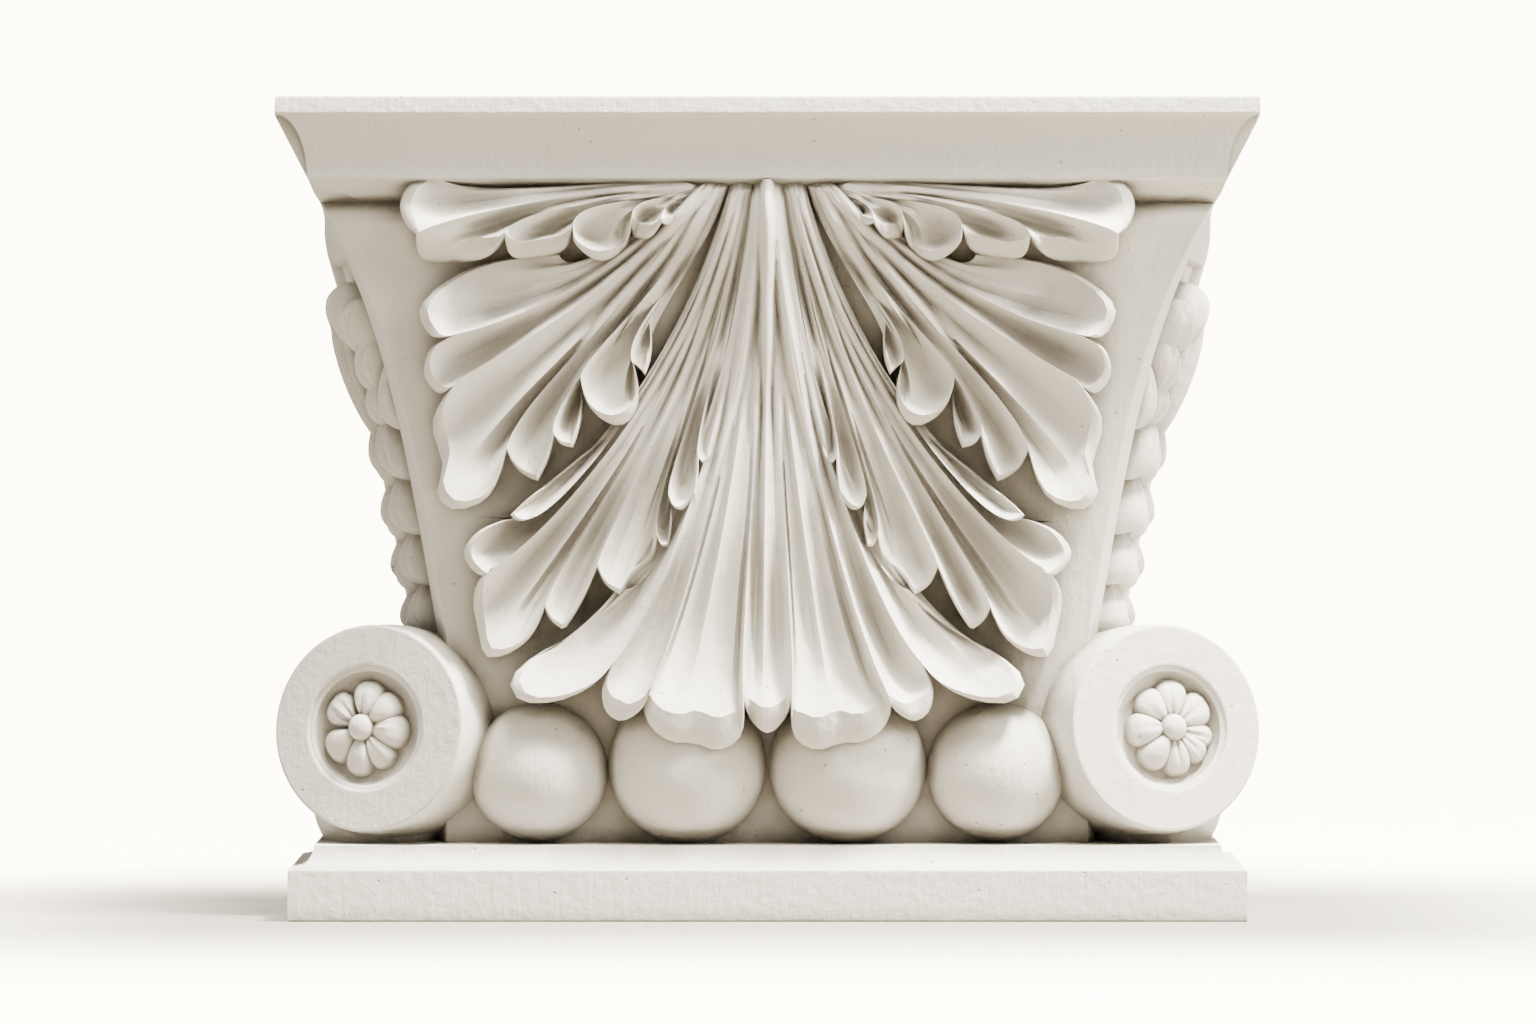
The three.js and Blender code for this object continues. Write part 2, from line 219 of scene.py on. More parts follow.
@dataclass(frozen=True)
class Abacus:
    """Top moulding: a fillet, a cove and a sloping soffit, mitred round the front corners."""

    top: float = 412.0
    fillet: float = 403.5
    cove: float = 372.5
    soffit: float = 361.2
    half: float = 245.0
    draft: float = 0.055
    cove_in: float = 15.5
    soffit_in: float = 45.0
    stop_depth: float = 148.0
    stop_slope: float = 0.52
    stop_draft: float = 0.05
    arris: float = 0.9

    def shells(self) -> list[Shell]:
        """Build the moulding and the plain stop block that ends it against the back."""
        a = np.linspace(0.0, math.pi / 2, 25)[1:]
        r = self.arris
        inset = np.concatenate([[r + 1, r, 0.3 * r, 0, 0, 0, 0, 0.2], self.cove_in * np.sin(a)])
        top, low = self.top, self.fillet
        drop = np.array([top, top, top - 0.3 * r, top - r, top - r - 0.6, low + 1, low + 0.4, low])
        z = np.concatenate([drop, self.cove + (self.fillet - self.cove) * np.cos(a)])
        inset = np.append(inset, [self.cove_in + 0.5, self.soffit_in, self.soffit_in + 17])
        z = np.append(z, [self.cove - 0.7, self.soffit, self.soffit - 13])
        front = DEPTH - inset
        back_half = self.half - inset + DEPTH * self.draft
        front_half = self.half - inset + (DEPTH - front) * self.draft
        return [rings_shell(cornered(back_half, front_half, front, z)), self.stop()]

    def stop(self) -> Shell:
        """Build the plain sloping block that ends the moulding, just behind the cove."""
        soffit_depth = DEPTH - self.soffit_in - 1.5
        z = np.array([self.top - 1.5, self.fillet, self.cove, self.soffit, self.soffit - 7.4])
        near = self.stop_depth
        front = np.array([near, near, near, soffit_depth, soffit_depth - 9.0])
        slope = self.stop_slope * np.maximum(0.0, self.fillet - z)
        back_half = self.half + DEPTH * self.draft - slope
        front_half = back_half - self.stop_draft * front
        return rings_shell(cornered(back_half, front_half, front, z))


@dataclass(frozen=True)
class FootSlab:
    """Plain foot slab with a cavetto that rises from it to the row of balls."""

    half: float = 240.0
    draft: float = 0.03
    depth: float = 150.0
    top: float = 26.0
    neck: float = 37.5
    neck_in: float = 12.5
    arris: float = 0.8

    def shells(self) -> list[Shell]:
        """Build the slab: the cavetto is a quarter ellipse, level at the slab and upright above."""
        a = np.linspace(0.0, math.pi / 2, 15)
        r = self.arris
        rise = self.top + (self.neck - self.top) * (1 - np.cos(a))
        sweep = r + (self.neck_in - r) * np.sin(a)
        inset = np.concatenate([[r, 0.3 * r, 0, 0, 0, 0, 0.3 * r], sweep])
        low = [0, 0.3 * r, r, r + 0.5, self.top - r - 0.5, self.top - r, self.top - 0.3 * r]
        z = np.concatenate([low, rise])
        front = self.depth - inset
        back_half = self.half - inset + self.depth * self.draft
        front_half = self.half - inset + inset * self.draft
        return [rings_shell(cornered(back_half, front_half, front, z))]


@dataclass(frozen=True)
class Body:
    """Flared block behind the leaves, wider at the back, with a sunk panel on each side."""

    bottom: float = 30.0
    top: float = 366.0
    front: float = 108.0
    waist: float = 163.5
    band_wide: float = 24.0
    band_deep: float = 3.0
    panel_top: float = 333.0
    panel_bottom: float = 120.0
    sink: float = 4.5
    edge: float = 1.2
    shoulder: float = 13.0
    shoulder_top: float = 361.5
    rows: tuple[int, int] = (28, 60)

    def front_half(self, z: Array) -> Array:
        """Half width at the front arris: straight at the waist, then flaring ever faster."""
        f = np.maximum(0.0, z - 142.0)
        return self.waist + 0.163 * f + 23.5 * (f / 212.0) ** 4

    def back_half(self, z: Array) -> Array:
        """Half width at the flat back, turning in a little under the top moulding."""
        f = np.maximum(0.0, z - 139.0)
        over = np.maximum(0.0, z - 337.0)
        return 186.0 + 0.19 * f + 7.0 * (f / 198.0) ** 3 - 5.0 * (over / 23.0) ** 2

    def face(self, z: Array) -> Array:
        """Depth of the front face: it leans out with the arris and rounds over at the top."""
        over = np.clip((z - self.shoulder_top + self.shoulder) / self.shoulder, 0.0, 0.97)
        return self.ground(z) - self.shoulder * (1.0 - np.sqrt(1.0 - over**2))

    def ground(self, z: Array) -> Array:
        """Depth of the front face as the leaves lie on it, with no rounding at the top."""
        return self.front + 0.41 * (self.front_half(np.minimum(z, 352.0)) - self.waist)

    def band(self, z: Array) -> Array:
        """How far the front corner is eased back under the top moulding."""
        return self.band_deep * smooth(285.0, 356.0, z)

    def side(self, v: Array, z: Array, out: Array) -> tuple[Array, Array]:
        """Place points on the side face: v is 0 at the front arris and 1 at the back.

        Args:
            v: Fraction of the way back.
            z: Height.
            out: Distance out of the face.

        Returns:
            X and depth of the points.
        """
        depth = self.face(z) - self.band(z)
        spread = self.back_half(z) - self.front_half(z)
        length = np.hypot(depth, spread)
        x = self.front_half(z) + spread * v + out * depth / length
        return x, depth * (1.0 - v) + out * spread / length

    def shells(self) -> list[Shell]:
        """Build the block from level rings; the panel is stepped in between two heights."""
        plain, carved = self.rows
        above = np.linspace(self.top, self.panel_top + self.edge, plain)
        sunk = np.linspace(self.panel_top, self.panel_bottom, carved)
        z = np.concatenate([above, sunk, [self.panel_bottom - self.edge, self.bottom]])
        deep = np.concatenate([np.zeros(plain), np.full(carved, -self.sink), [0.0, 0.0]])
        v = np.array([1.0, 0.9, 0.886, 0.225, 0.211, 0.012, 0.0])
        recessed = np.array([0, 0, 1, 1, 0, 0, 0])
        height = np.repeat(z[:, None], v.size, axis=1)
        x, d = self.side(v[None, :], height, deep[:, None] * recessed[None, :])
        front_x = self.front_half(z) - self.band_wide
        x[:, -1] -= 0.9
        x = np.column_stack([x, front_x + 2, front_x])
        d = np.column_stack([d, self.face(z) - 0.12 * self.band(z), self.face(z)])
        height = np.repeat(z[:, None], x.shape[1], axis=1)
        right = np.stack([x, d, height], axis=-1)
        left = right[:, ::-1] * np.array([-1.0, 1.0, 1.0])
        return [rings_shell(np.concatenate([right, left], axis=1))]


# leaves


@dataclass(frozen=True)
class Finger:
    """One finger of a leaf, as the points its outline passes from its notch round its tip.

    The first point is the notch. Corner is the number of a sharp point, or -1 for a round tip.
    Lips are how wide the cut edge shows on the near side, at the tip and on the far side. Ridge
    is the strength of a second ridge down the middle of the finger. Starts are how far up the
    leaf the ridge from the notch and the middle ridge reach, 0 at the root and 1 at the tip.
    Lift raises the tip. Folds are further weak ridges as (place across, strength, start).
    """

    outline: tuple[tuple[float, float], ...]
    corner: int = -1
    lips: tuple[float, float, float] = (3.0, 6.0, 3.0)
    ridge: float = 0.0
    starts: tuple[float, float] = (0.3, 0.45)
    lift: float = 0.0
    folds: tuple[tuple[float, float, float], ...] = ()


def bent_line(points: Array, corner: int, u: Array) -> Array:
    """Run a smooth curve through a finger's outline points.

    Steps are spaced by the square root of their length. Each piece is a cubic between two points
    whose slopes come from their neighbours, and a corner keeps the slope of its own piece.

    Args:
        points: (n, 2) outline points from one notch to the next.
        corner: Number of the sharp point, or -1.
        u: Positions along the outline from 0 to 1.

    Returns:
        (u, 2) points.
    """
    step = np.sqrt(np.linalg.norm(np.diff(points, axis=0), axis=1)) + 1e-9
    knots = np.concatenate([[0.0], np.cumsum(step)]) / step.sum()
    gap = np.diff(knots)[:, None]
    rate = np.diff(points, axis=0) / gap
    slope = np.zeros_like(points)
    slope[1:-1] = (rate[:-1] * gap[1:] + rate[1:] * gap[:-1]) / (gap[:-1] + gap[1:])
    into = slope.copy()
    away = slope.copy()
    away[0] = 1.5 * rate[0] - 0.5 * slope[1]
    into[-1] = 1.5 * rate[-1] - 0.5 * slope[-2]
    if corner > 0:
        into[corner] = 1.5 * rate[corner - 1] - 0.5 * away[corner - 1]
        away[corner] = 1.5 * rate[corner] - 0.5 * into[corner + 1]
    k = np.clip(np.searchsorted(knots, u, side="right") - 1, 0, len(step) - 1)
    f = ((u - knots[k]) / gap[k, 0])[:, None]
    g = gap[k]
    return (
        (2 * f**3 - 3 * f**2 + 1) * points[k]
        + (f**3 - 2 * f**2 + f) * g * away[k]
        + (3 * f**2 - 2 * f**3) * points[k + 1]
        + (f**3 - f**2) * g * into[k + 1]
    )


@dataclass(frozen=True)
class Flutes:
    """The lines of one leaf, worked out once: where each flute runs and how long it is."""

    t: Array
    u: Array
    line: Array
    length: Array
    full: Array

    def at(self, distance: Array) -> Array:
        """Find the points at a distance along every flute.

        Args:
            distance: (columns, rows) distances from the root.

        Returns:
            (columns, rows, 2) points.
        """
        found = [
            np.stack([np.interp(d, run, line[:, 0]), np.interp(d, run, line[:, 1])], axis=-1)
            for d, run, line in zip(distance, self.length, self.line)
        ]
        return np.stack(found)


@dataclass(frozen=True)
class Leaf:
    """A compound leaf whose flutes run from a short root line out to a row of fingers.

    Start is the direction in which the flutes leave the two ends of the root, and last is the
    notch that ends the last finger. Heights over the block: low at the root, rise towards the
    tips, curl at the very tips, spoon for the hollow before them, stem and bump for the swollen
    root, edges for how far the two side edges roll down. Flute is the tallest a ridge gets, and
    depth its height for a channel one wide. Pipes are where round pipes begin and end their
    change into hollow channels, and fades are how far down the leaf middle ridges, folds and
    ridges from a notch go. Lean is how steeply the wall past the rim falls.
    """

    root: tuple[tuple[float, float], tuple[float, float]]
    start: tuple[tuple[float, float], tuple[float, float]]
    fingers: tuple[Finger, ...]
    last: tuple[float, float]
    low: float = 6.0
    rise: float = 14.0
    curl: float = 8.0
    spoon: float = 7.0
    stem: float = 8.0
    edges: tuple[float, float] = (3.0, 3.0)
    flute: float = 10.5
    depth: float = 1.5
    swell: float = 2.2
    bump: float = 6.0
    pipes: tuple[float, float] = (0.30, 0.72)
    fades: tuple[float, float, float] = (0.93, 0.94, 1.2)
    crest: float = 1.6
    lean: float = 0.9
    reach: float = 0.42
    columns: int = 18
    rows: int = 34

    def blend(self, values: Array, t: Array) -> Array:
        """Blend one value a finger from finger middle to finger middle."""
        count = len(self.fingers)
        place = t * count - 0.5
        return np.interp(place, np.arange(count), np.asarray(values, float))

    def outline(self, t: Array) -> tuple[Array, Array]:
        """Trace the outline of the whole leaf.

        Args:
            t: Position along the outline, 0 to 1 over all the fingers.

        Returns:
            Outline points and the position within the finger of each.
        """
        count = len(self.fingers)
        index = np.minimum((t * count).astype(int), count - 1)
        u = t * count - index
        line = np.zeros((t.size, 2))
        for i, finger in enumerate(self.fingers):
            end = self.fingers[i + 1].outline[0] if i + 1 < count else self.last
            points = np.array(finger.outline + (end,), float)
            here = index == i
            line[here] = bent_line(points, finger.corner, u[here])
        return line, u

    def flutes(self) -> Flutes:
        """Lay the flute lines out on the face of the leaf.

        Each flute is a cubic curve. It leaves the root line in its starting direction, is drawn
        towards the throat of its finger, a point behind the two notches, and ends on the outline.

        Returns:
            The flute lines.
        """
        count = len(self.fingers)
        w = np.linspace(0.0, 1.0, self.columns + 1)
        u = 0.55 * w + 0.45 * 0.5 * (1.0 - np.cos(math.pi * w))
        t = np.unique(np.round(np.concatenate([(i + u) / count for i in range(count)]), 9))
        end, inner = self.outline(t)
        notches = np.array([f.outline[0] for f in self.fingers] + [self.last], float)
        middle = 0.5 * (notches[:-1] + notches[1:])
        tips, _ = self.outline((np.arange(count) + 0.5) / count)
        out = tips - middle
        size = np.linalg.norm(out, axis=1, keepdims=True)
        throat = middle - out / size * (10.0 + 0.5 * size)
        aim = np.stack([self.blend(throat[:, k], t) for k in (0, 1)], axis=-1)
        mix = t[:, None]
        root = np.array(self.root[0]) * (1 - mix) + np.array(self.root[1]) * mix
        first = np.array(self.start[0]) * (1 - mix) + np.array(self.start[1]) * mix
        first = first / np.linalg.norm(first, axis=1, keepdims=True)
        span = np.linalg.norm(end - root, axis=1, keepdims=True)
        near = root + first * span * self.reach
        far = end + 0.8 * (aim - end)
        q = np.linspace(0.0, 1.0, 81)[None, :, None]
        line = (
            (1 - q) ** 3 * root[:, None]
            + 3 * q * (1 - q) ** 2 * near[:, None]
            + 3 * q * q * (1 - q) * far[:, None]
            + q**3 * end[:, None]
        )
        step = np.linalg.norm(np.diff(line, axis=1), axis=-1)
        length = np.concatenate([np.zeros((t.size, 1)), np.cumsum(step, axis=1)], axis=1)
        centre = (np.arange(count) + 0.5) / count
        lips = [f.lips[1] for f in self.fingers]
        full = self.blend(np.interp(centre, t, length[:, -1]) - lips, t)
        return Flutes(t, inner, line, length, full)

    def across(self, points: Array) -> Array:
        """Measure, row by row, how far each flute lies from the first, square to the flutes."""
        along = np.gradient(points, axis=1)
        along /= np.linalg.norm(along, axis=-1, keepdims=True) + 1e-9
        along = 0.5 * (along[1:] + along[:-1])
        step = np.diff(points, axis=0)
        wide = np.abs(step[..., 0] * along[..., 1] - step[..., 1] * along[..., 0])
        return np.concatenate([np.zeros((1, points.shape[1])), np.cumsum(wide, axis=0)])

    def ribs(self, flutes: Flutes, q: Array, points: Array) -> Array:
        """Return the ridges that run down the leaf and the channels between them.

        A ridge runs up from every notch, and some fingers have a weaker one down their middle.
        Near the root the ridges are round pipes with narrow grooves between them, and towards
        the tips they turn into thin crests between hollow channels. A ridge that hasn't begun
        yet leaves its room to its neighbours.

        Args:
            flutes: The leaf's flute lines.
            q: (columns, rows) positions from the root, 0, to the tip, 1.
            points: The points at those positions.

        Returns:
            (columns, rows) heights.
        """
        count = len(self.fingers)
        place = self.across(points)
        middle, fold, notch = self.fades
        lines = [(i / count, self.fingers[i].starts[0], 1.0, notch) for i in range(1, count)]
        lines += [((i + 0.55) / count, f.starts[1], f.ridge, middle)
                  for i, f in enumerate(self.fingers) if f.ridge > 0.0]
        lines += [((i + place_in) / count, start, strength, fold)
                  for i, f in enumerate(self.fingers) for place_in, strength, start in f.folds]
        lines = [(0.0, 0.3, 0.35, notch)] + sorted(lines) + [(1.0, 0.3, 0.35, notch)]
        columns = [int(np.argmin(np.abs(flutes.t - line[0]))) for line in lines]
        at = place[columns]
        begun = np.stack([smooth(start - 0.12, start + 0.08, q[c])
                          for c, (_, start, _, _) in zip(columns, lines)])
        after = at.copy()
        before = at.copy()
        for k in range(len(lines) - 2, -1, -1):
            grown = begun[k + 1] if k + 2 < len(lines) else 1.0
            after[k] = grown * at[k + 1] + (1 - grown) * after[k + 1]
            if k + 2 == len(lines):
                after[k] = at[k + 1]
        for k in range(1, len(lines)):
            grown = begun[k - 1] if k > 1 else 1.0
            before[k] = grown * at[k - 1] + (1 - grown) * before[k - 1]
        pipe = 1.0 - smooth(*self.pipes, q)
        height = np.zeros_like(q)
        for k, (_, _, strength, fade) in enumerate(lines):
            right = 0.5 * np.maximum(after[k] - at[k], 0.4)
            left = 0.5 * np.maximum(at[k] - before[k], 0.4)
            room = np.where(k in (0, len(lines) - 1), 1.0, 0.5) * (left + right)
            gap = place - at[k]
            x = np.minimum(np.where(gap > 0, gap / right, -gap / left), 1.0)
            round_top = 1.0 - x**2.2
            hollow = (1.0 - x) ** self.crest
            tall = strength * begun[k] * np.minimum(self.flute, self.depth * room)
            tall = tall * (1.0 - smooth(fade - 0.12, fade + 0.12, q))
            height = np.maximum(height, tall * (pipe * round_top + (1 - pipe) * hollow))
        return height

    def relief(self, flutes: Flutes, distance: Array, points: Array) -> Array:
        """Return how far the face of the leaf stands out from the block.

        It climbs towards the tips and curls up at the last. Each finger swells between its
        ridges and is hollowed like a spoon near its tip, and the face rolls down at its sides.

        Args:
            flutes: The leaf's flute lines.
            distance: (columns, rows) distances along them.
            points: The points at those distances.

        Returns:
            (columns, rows) heights.
        """
        u = flutes.u[:, None]
        t = flutes.t[:, None]
        count = len(self.fingers)
        q = np.minimum(distance / flutes.full[:, None], 1.05)
        lift = self.blend(np.array([f.lift for f in self.fingers]), flutes.t)[:, None]
        height = self.low + self.rise * q**1.7 + self.curl * q**8 + lift * q**3
        height = height + self.ribs(flutes, q, points) - 3.0 * smooth(0.1, 0.45, q)
        swell = 4.0 * u * (1.0 - u)
        height = height + self.swell * swell * smooth(0.15, 0.6, q) * (1.0 - smooth(0.62, 0.85, q))
        dish = smooth(0.60, 0.88, q) * (1.0 - 0.75 * smooth(0.93, 1.02, q))
        height = height - self.spoon * swell * dish
        height = height + self.stem * (1.0 - smooth(0.0, 0.45, q))
        round_top = np.sin(math.pi * np.clip(t, 0.02, 0.98)) ** 0.6 - 0.8
        height = height + self.bump * round_top * (1.0 - smooth(0.0, 0.4, q))
        height = height - 7.0 * (1.0 - smooth(0.0, 5.0, distance)) ** 2
        rim_a = self.edges[0] * (1.0 - smooth(0.0, 0.45 / count, flutes.t)) ** 2
        rim_b = self.edges[1] * (1.0 - smooth(0.0, 0.45 / count, 1.0 - flutes.t)) ** 2
        return height - (rim_a + rim_b)[:, None]

    def lip(self, flutes: Flutes) -> Array:
        """Return how wide the cut edge shows at the end of each flute."""
        count = len(self.fingers)
        base = np.arange(count)[:, None] + np.array([[0.22, 0.5, 0.78]])
        wide = np.array([f.lips for f in self.fingers], float)
        notch = np.arange(count + 1)
        at = np.concatenate([base.ravel(), notch])
        value = np.concatenate([wide.ravel(), np.full(count + 1, 1.6)])
        order = np.argsort(at)
        return np.interp(flutes.t * count, at[order], value[order])

    def surfaces(self) -> tuple[Array, Array, Array, Array]:
        """Work out the leaf's face and the wall past its rim.

        Returns:
            Face plan, face heights, wall plan and wall heights.
        """
        flutes = self.flutes()
        total = flutes.length[:, -1]
        lip = np.minimum(self.lip(flutes), 0.5 * total)
        rim = total - lip
        r = np.linspace(0.0, 1.0, self.rows)
        distance = rim[:, None] * (1.0 - (1.0 - r) ** 1.25)[None, :]
        face = flutes.at(distance)
        height = self.relief(flutes, distance, face)
        edge = height[:, -1:]
        out = np.array([0.06, 0.22, 0.45, 0.70, 0.90, 1.0, 1.0, 0.95, 0.86])
        roll = np.array([0.03, 0.09, 0.18, 0.34, 0.62, 1.0])
        wall = flutes.at(rim[:, None] + lip[:, None] * out[None, :])
        bottom = np.maximum(edge - self.lean * lip[:, None] - 2.0, 0.15 * edge)
        front = edge + (bottom - edge) * roll
        under = bottom + (-4.0 - bottom) * np.array([0.30, 0.65, 1.0])
        wall_height = np.concatenate([front, under], axis=1)
        return face, height, wall, wall_height


FIRST = Leaf(
    root=((36, 371.5), (33, 366)),
    start=((1, 0.03), (0.75, -0.66)),
    fingers=(
        Finger(((166, 374), (179, 370), (184, 359), (180.5, 348.5)), -1, (5, 6, 5), 0.0, (0, 0.5)),
        Finger(
            ((175, 343.5), (174, 333), (161, 330.5), (141, 333)),
            -1, (9, 17, 11), 0.0, (0.25, 0.5),
        ),
        Finger(
            ((131, 342.5), (128.5, 333.5), (118.5, 332.5), (102.5, 336.5)),
            -1, (8, 10, 9), 0.0, (0.3, 0.5),
        ),
        Finger(((97, 347.5), (96, 339), (84, 331), (72.5, 336)), -1, (2, 5, 3), 0.3, (0.45, 0.5)),
        Finger(((67.5, 352), (67, 343), (59.5, 342)), -1, (6, 8, 6), 0.0, (0.35, 0.5)),
        Finger(((53, 349.5), (48.5, 348.5), (42.5, 352.5)), -1, (4, 4, 3), 0.0, (0.3, 0.5)),
    ),
    last=(39.5, 358),
    low=13,
    rise=8,
    curl=4,
    stem=3,
    edges=(6, 3),
)
SECOND = Leaf(
    root=((35.5, 371), (19, 371.5)),
    start=((0.70, -0.71), (0.18, -0.98)),
    fingers=(
        Finger(
            ((105, 335.5), (153, 326), (174.5, 306.5), (168, 293)),
            -1, (2, 4, 5), 0.3, (0, 0.45),
        ),
        Finger(
            ((155.5, 294), (169.5, 286), (172.5, 273.5), (164.5, 264.5)),
            -1, (2, 4, 5), 0.0, (0.22, 0.5),
        ),
        Finger(
            ((155.5, 271), (169, 250), (164, 228), (166.5, 214), (159, 206.5), (142, 211.5)),
            -1, (8, 7, 3), 0.8, (0.05, 0.5),
        ),
        Finger(
            ((131, 236), (126.5, 227), (116, 220), (110.5, 231.5)),
            2, (2, 3, 3), 0.0, (0.18, 0.5),
        ),
        Finger(
            ((107, 243.5), (103.5, 239), (98, 237.5), (93.5, 252)),
            2, (2, 3, 3), 0.0, (0.6, 0.5),
        ),
        Finger(
            ((93.5, 271), (90.5, 259.5), (82.5, 251), (73.5, 248.5), (66, 256), (65, 269)),
            -1, (2, 6, 4), 0.6, (0.12, 0.6),
        ),
        Finger(
            ((67.5, 279.5), (64.5, 277), (61.5, 274), (58.5, 284)),
            2, (1, 3, 2), 0.0, (0.6, 0.5),
        ),
    ),
    last=(58.5, 299.5),
    low=8,
    rise=11,
    curl=8,
)
THIRD = Leaf(
    root=((18.5, 372), (7, 372)),
    start=((0.22, -0.97), (0.08, -1)),
    fingers=(
        Finger(
            ((84.5, 241), (105, 224.5), (122.5, 210), (129.5, 203), (124, 200.5)),
            3, (1, 2, 2), 0.0, (0, 0.5),
        ),
        Finger(
            ((117, 202.5), (133.5, 200.5), (147, 194), (153, 184.5), (149, 176.5), (143, 173)),
            -1, (2, 4, 4), 0.0, (0.22, 0.5),
        ),
        Finger(
            (
                (138.5, 177), (146, 169.5), (148.5, 159.5), (146, 145),
                (142, 132.5), (132, 133), (120, 141.5),
            ),
            -1, (7, 6, 3), 0.8, (0.05, 0.5),
        ),
        Finger(
            ((112, 157), (109, 150.5), (102.5, 145.5), (94.5, 158)),
            2, (2, 3, 3), 0.0, (0.30, 0.5),
        ),
        Finger(
            ((85.5, 177.5), (81.5, 168.5), (73.5, 163), (68.5, 171), (58.5, 180)),
            2, (2, 4, 3), 0.4, (0.10, 0.6),
        ),
        Finger(((55, 192.5), (53, 188), (50, 187.5), (48, 200)), 2, (1, 2, 2), 0.0, (0.42, 0.5)),
        Finger(
            ((49.5, 213), (47, 207.5), (42.5, 206), (36.5, 209.5), (35, 221)),
            -1, (1, 5, 2), 0.0, (0.20, 0.5),
        ),
        Finger(((34.5, 232), (32.5, 229.5), (29.5, 231)), 1, (1, 2, 1), 0.0, (0.6, 0.5)),
    ),
    last=(26.5, 243),
    low=7,
    rise=14,
    curl=9,
    stem=9,
)
MIDDLE = Leaf(
    root=((7.5, 371.5), (-7.5, 371.5)),
    start=((0.1, -1), (-0.1, -1)),
    fingers=(
        Finger(
            (
                (72, 166), (99.5, 142.5), (119.5, 131), (129, 120),
                (124.5, 111), (109.5, 109.5), (89.5, 117),
            ),
            -1, (3, 5, 5), 0.5, (0, 0.55), -9.0,
        ),
        Finger(
            ((77.5, 129.5), (83, 116), (80.5, 104.5), (73.5, 100.5), (63, 106.5)),
            -1, (4, 10, 8), 0.0, (0.35, 0.6), -4.0,
        ),
        Finger(
            ((58.5, 118), (62, 108), (58, 97), (47.5, 90), (36.5, 89), (24.5, 86), (14, 92)),
            -1, (10, 17, 16), 0.75, (0.16, 0.42), 0.0, ((0.28, 0.5, 0.55), (0.80, 0.45, 0.5)),
        ),
        Finger(
            ((12, 112.5), (8.5, 101), (0, 94.5), (-8.5, 101)),
            -1, (10, 13, 10), 1.0, (0.36, -0.2),
        ),
        Finger(
            ((-12, 112.5), (-14, 92), (-24.5, 86), (-36.5, 89), (-47.5, 90), (-58, 97), (-62, 108)),
            -1, (16, 17, 10), 0.75, (0.36, 0.42), 0.0, ((0.24, 0.45, 0.5), (0.80, 0.5, 0.55)),
        ),
        Finger(
            ((-58.5, 118), (-63, 106.5), (-73.5, 100.5), (-80.5, 104.5), (-83, 116)),
            -1, (8, 10, 4), 0.0, (0.16, 0.6), -4.0,
        ),
        Finger(
            (
                (-77.5, 129.5), (-89.5, 117), (-109.5, 109.5), (-124.5, 111),
                (-129, 120), (-119.5, 131), (-99.5, 142.5),
            ),
            -1, (5, 5, 3), 0.5, (0.35, 0.55), -9.0,
        ),
    ),
    last=(-72, 166),
    low=10,
    rise=27,
    curl=14,
    spoon=8,
    stem=9,
    edges=(1, 1),
    lean=0.3,
)


@dataclass(frozen=True)
class FrontLeaves:
    """The fan of seven leaves that hangs over the front of the block."""

    body: Body
    first: Leaf
    second: Leaf
    third: Leaf
    middle: Leaf
    buried: float = 6.0
    clear: float = 0.5

    def carve(self, leaf: Leaf) -> Shell:
        """Lay one leaf on the block's front face, on the right-hand side."""
        face, height, wall, wall_height = leaf.surfaces()

        def place(plan: Array, out: Array) -> Array:
            depth = np.minimum(self.body.ground(plan[..., 1]) + out, DEPTH - self.clear)
            return np.stack([plan[..., 0], depth, plan[..., 1]], axis=-1)

        under = np.full(height.shape, -self.buried)
        return sheet_shell(place(face, height), place(wall, wall_height), place(face, under))

    def shells(self) -> list[Shell]:
        """Build the middle leaf once and the other three on both sides."""
        built = [self.carve(self.middle)]
        for leaf in (self.third, self.second, self.first):
            one = self.carve(leaf)
            built += [one, one.mirrored()]
        return built


@dataclass(frozen=True)
class Lobe:
    """One rounded lobe on a side panel, measured along the panel from its middle line.

    Along is towards the back, z is the middle height, and lean tips its head sideways. Full is
    how much fuller its foot is than its head.
    """

    along: float
    z: float
    half: float
    wide: float
    proud: float
    lean: float = 0.0
    full: float = 0.38


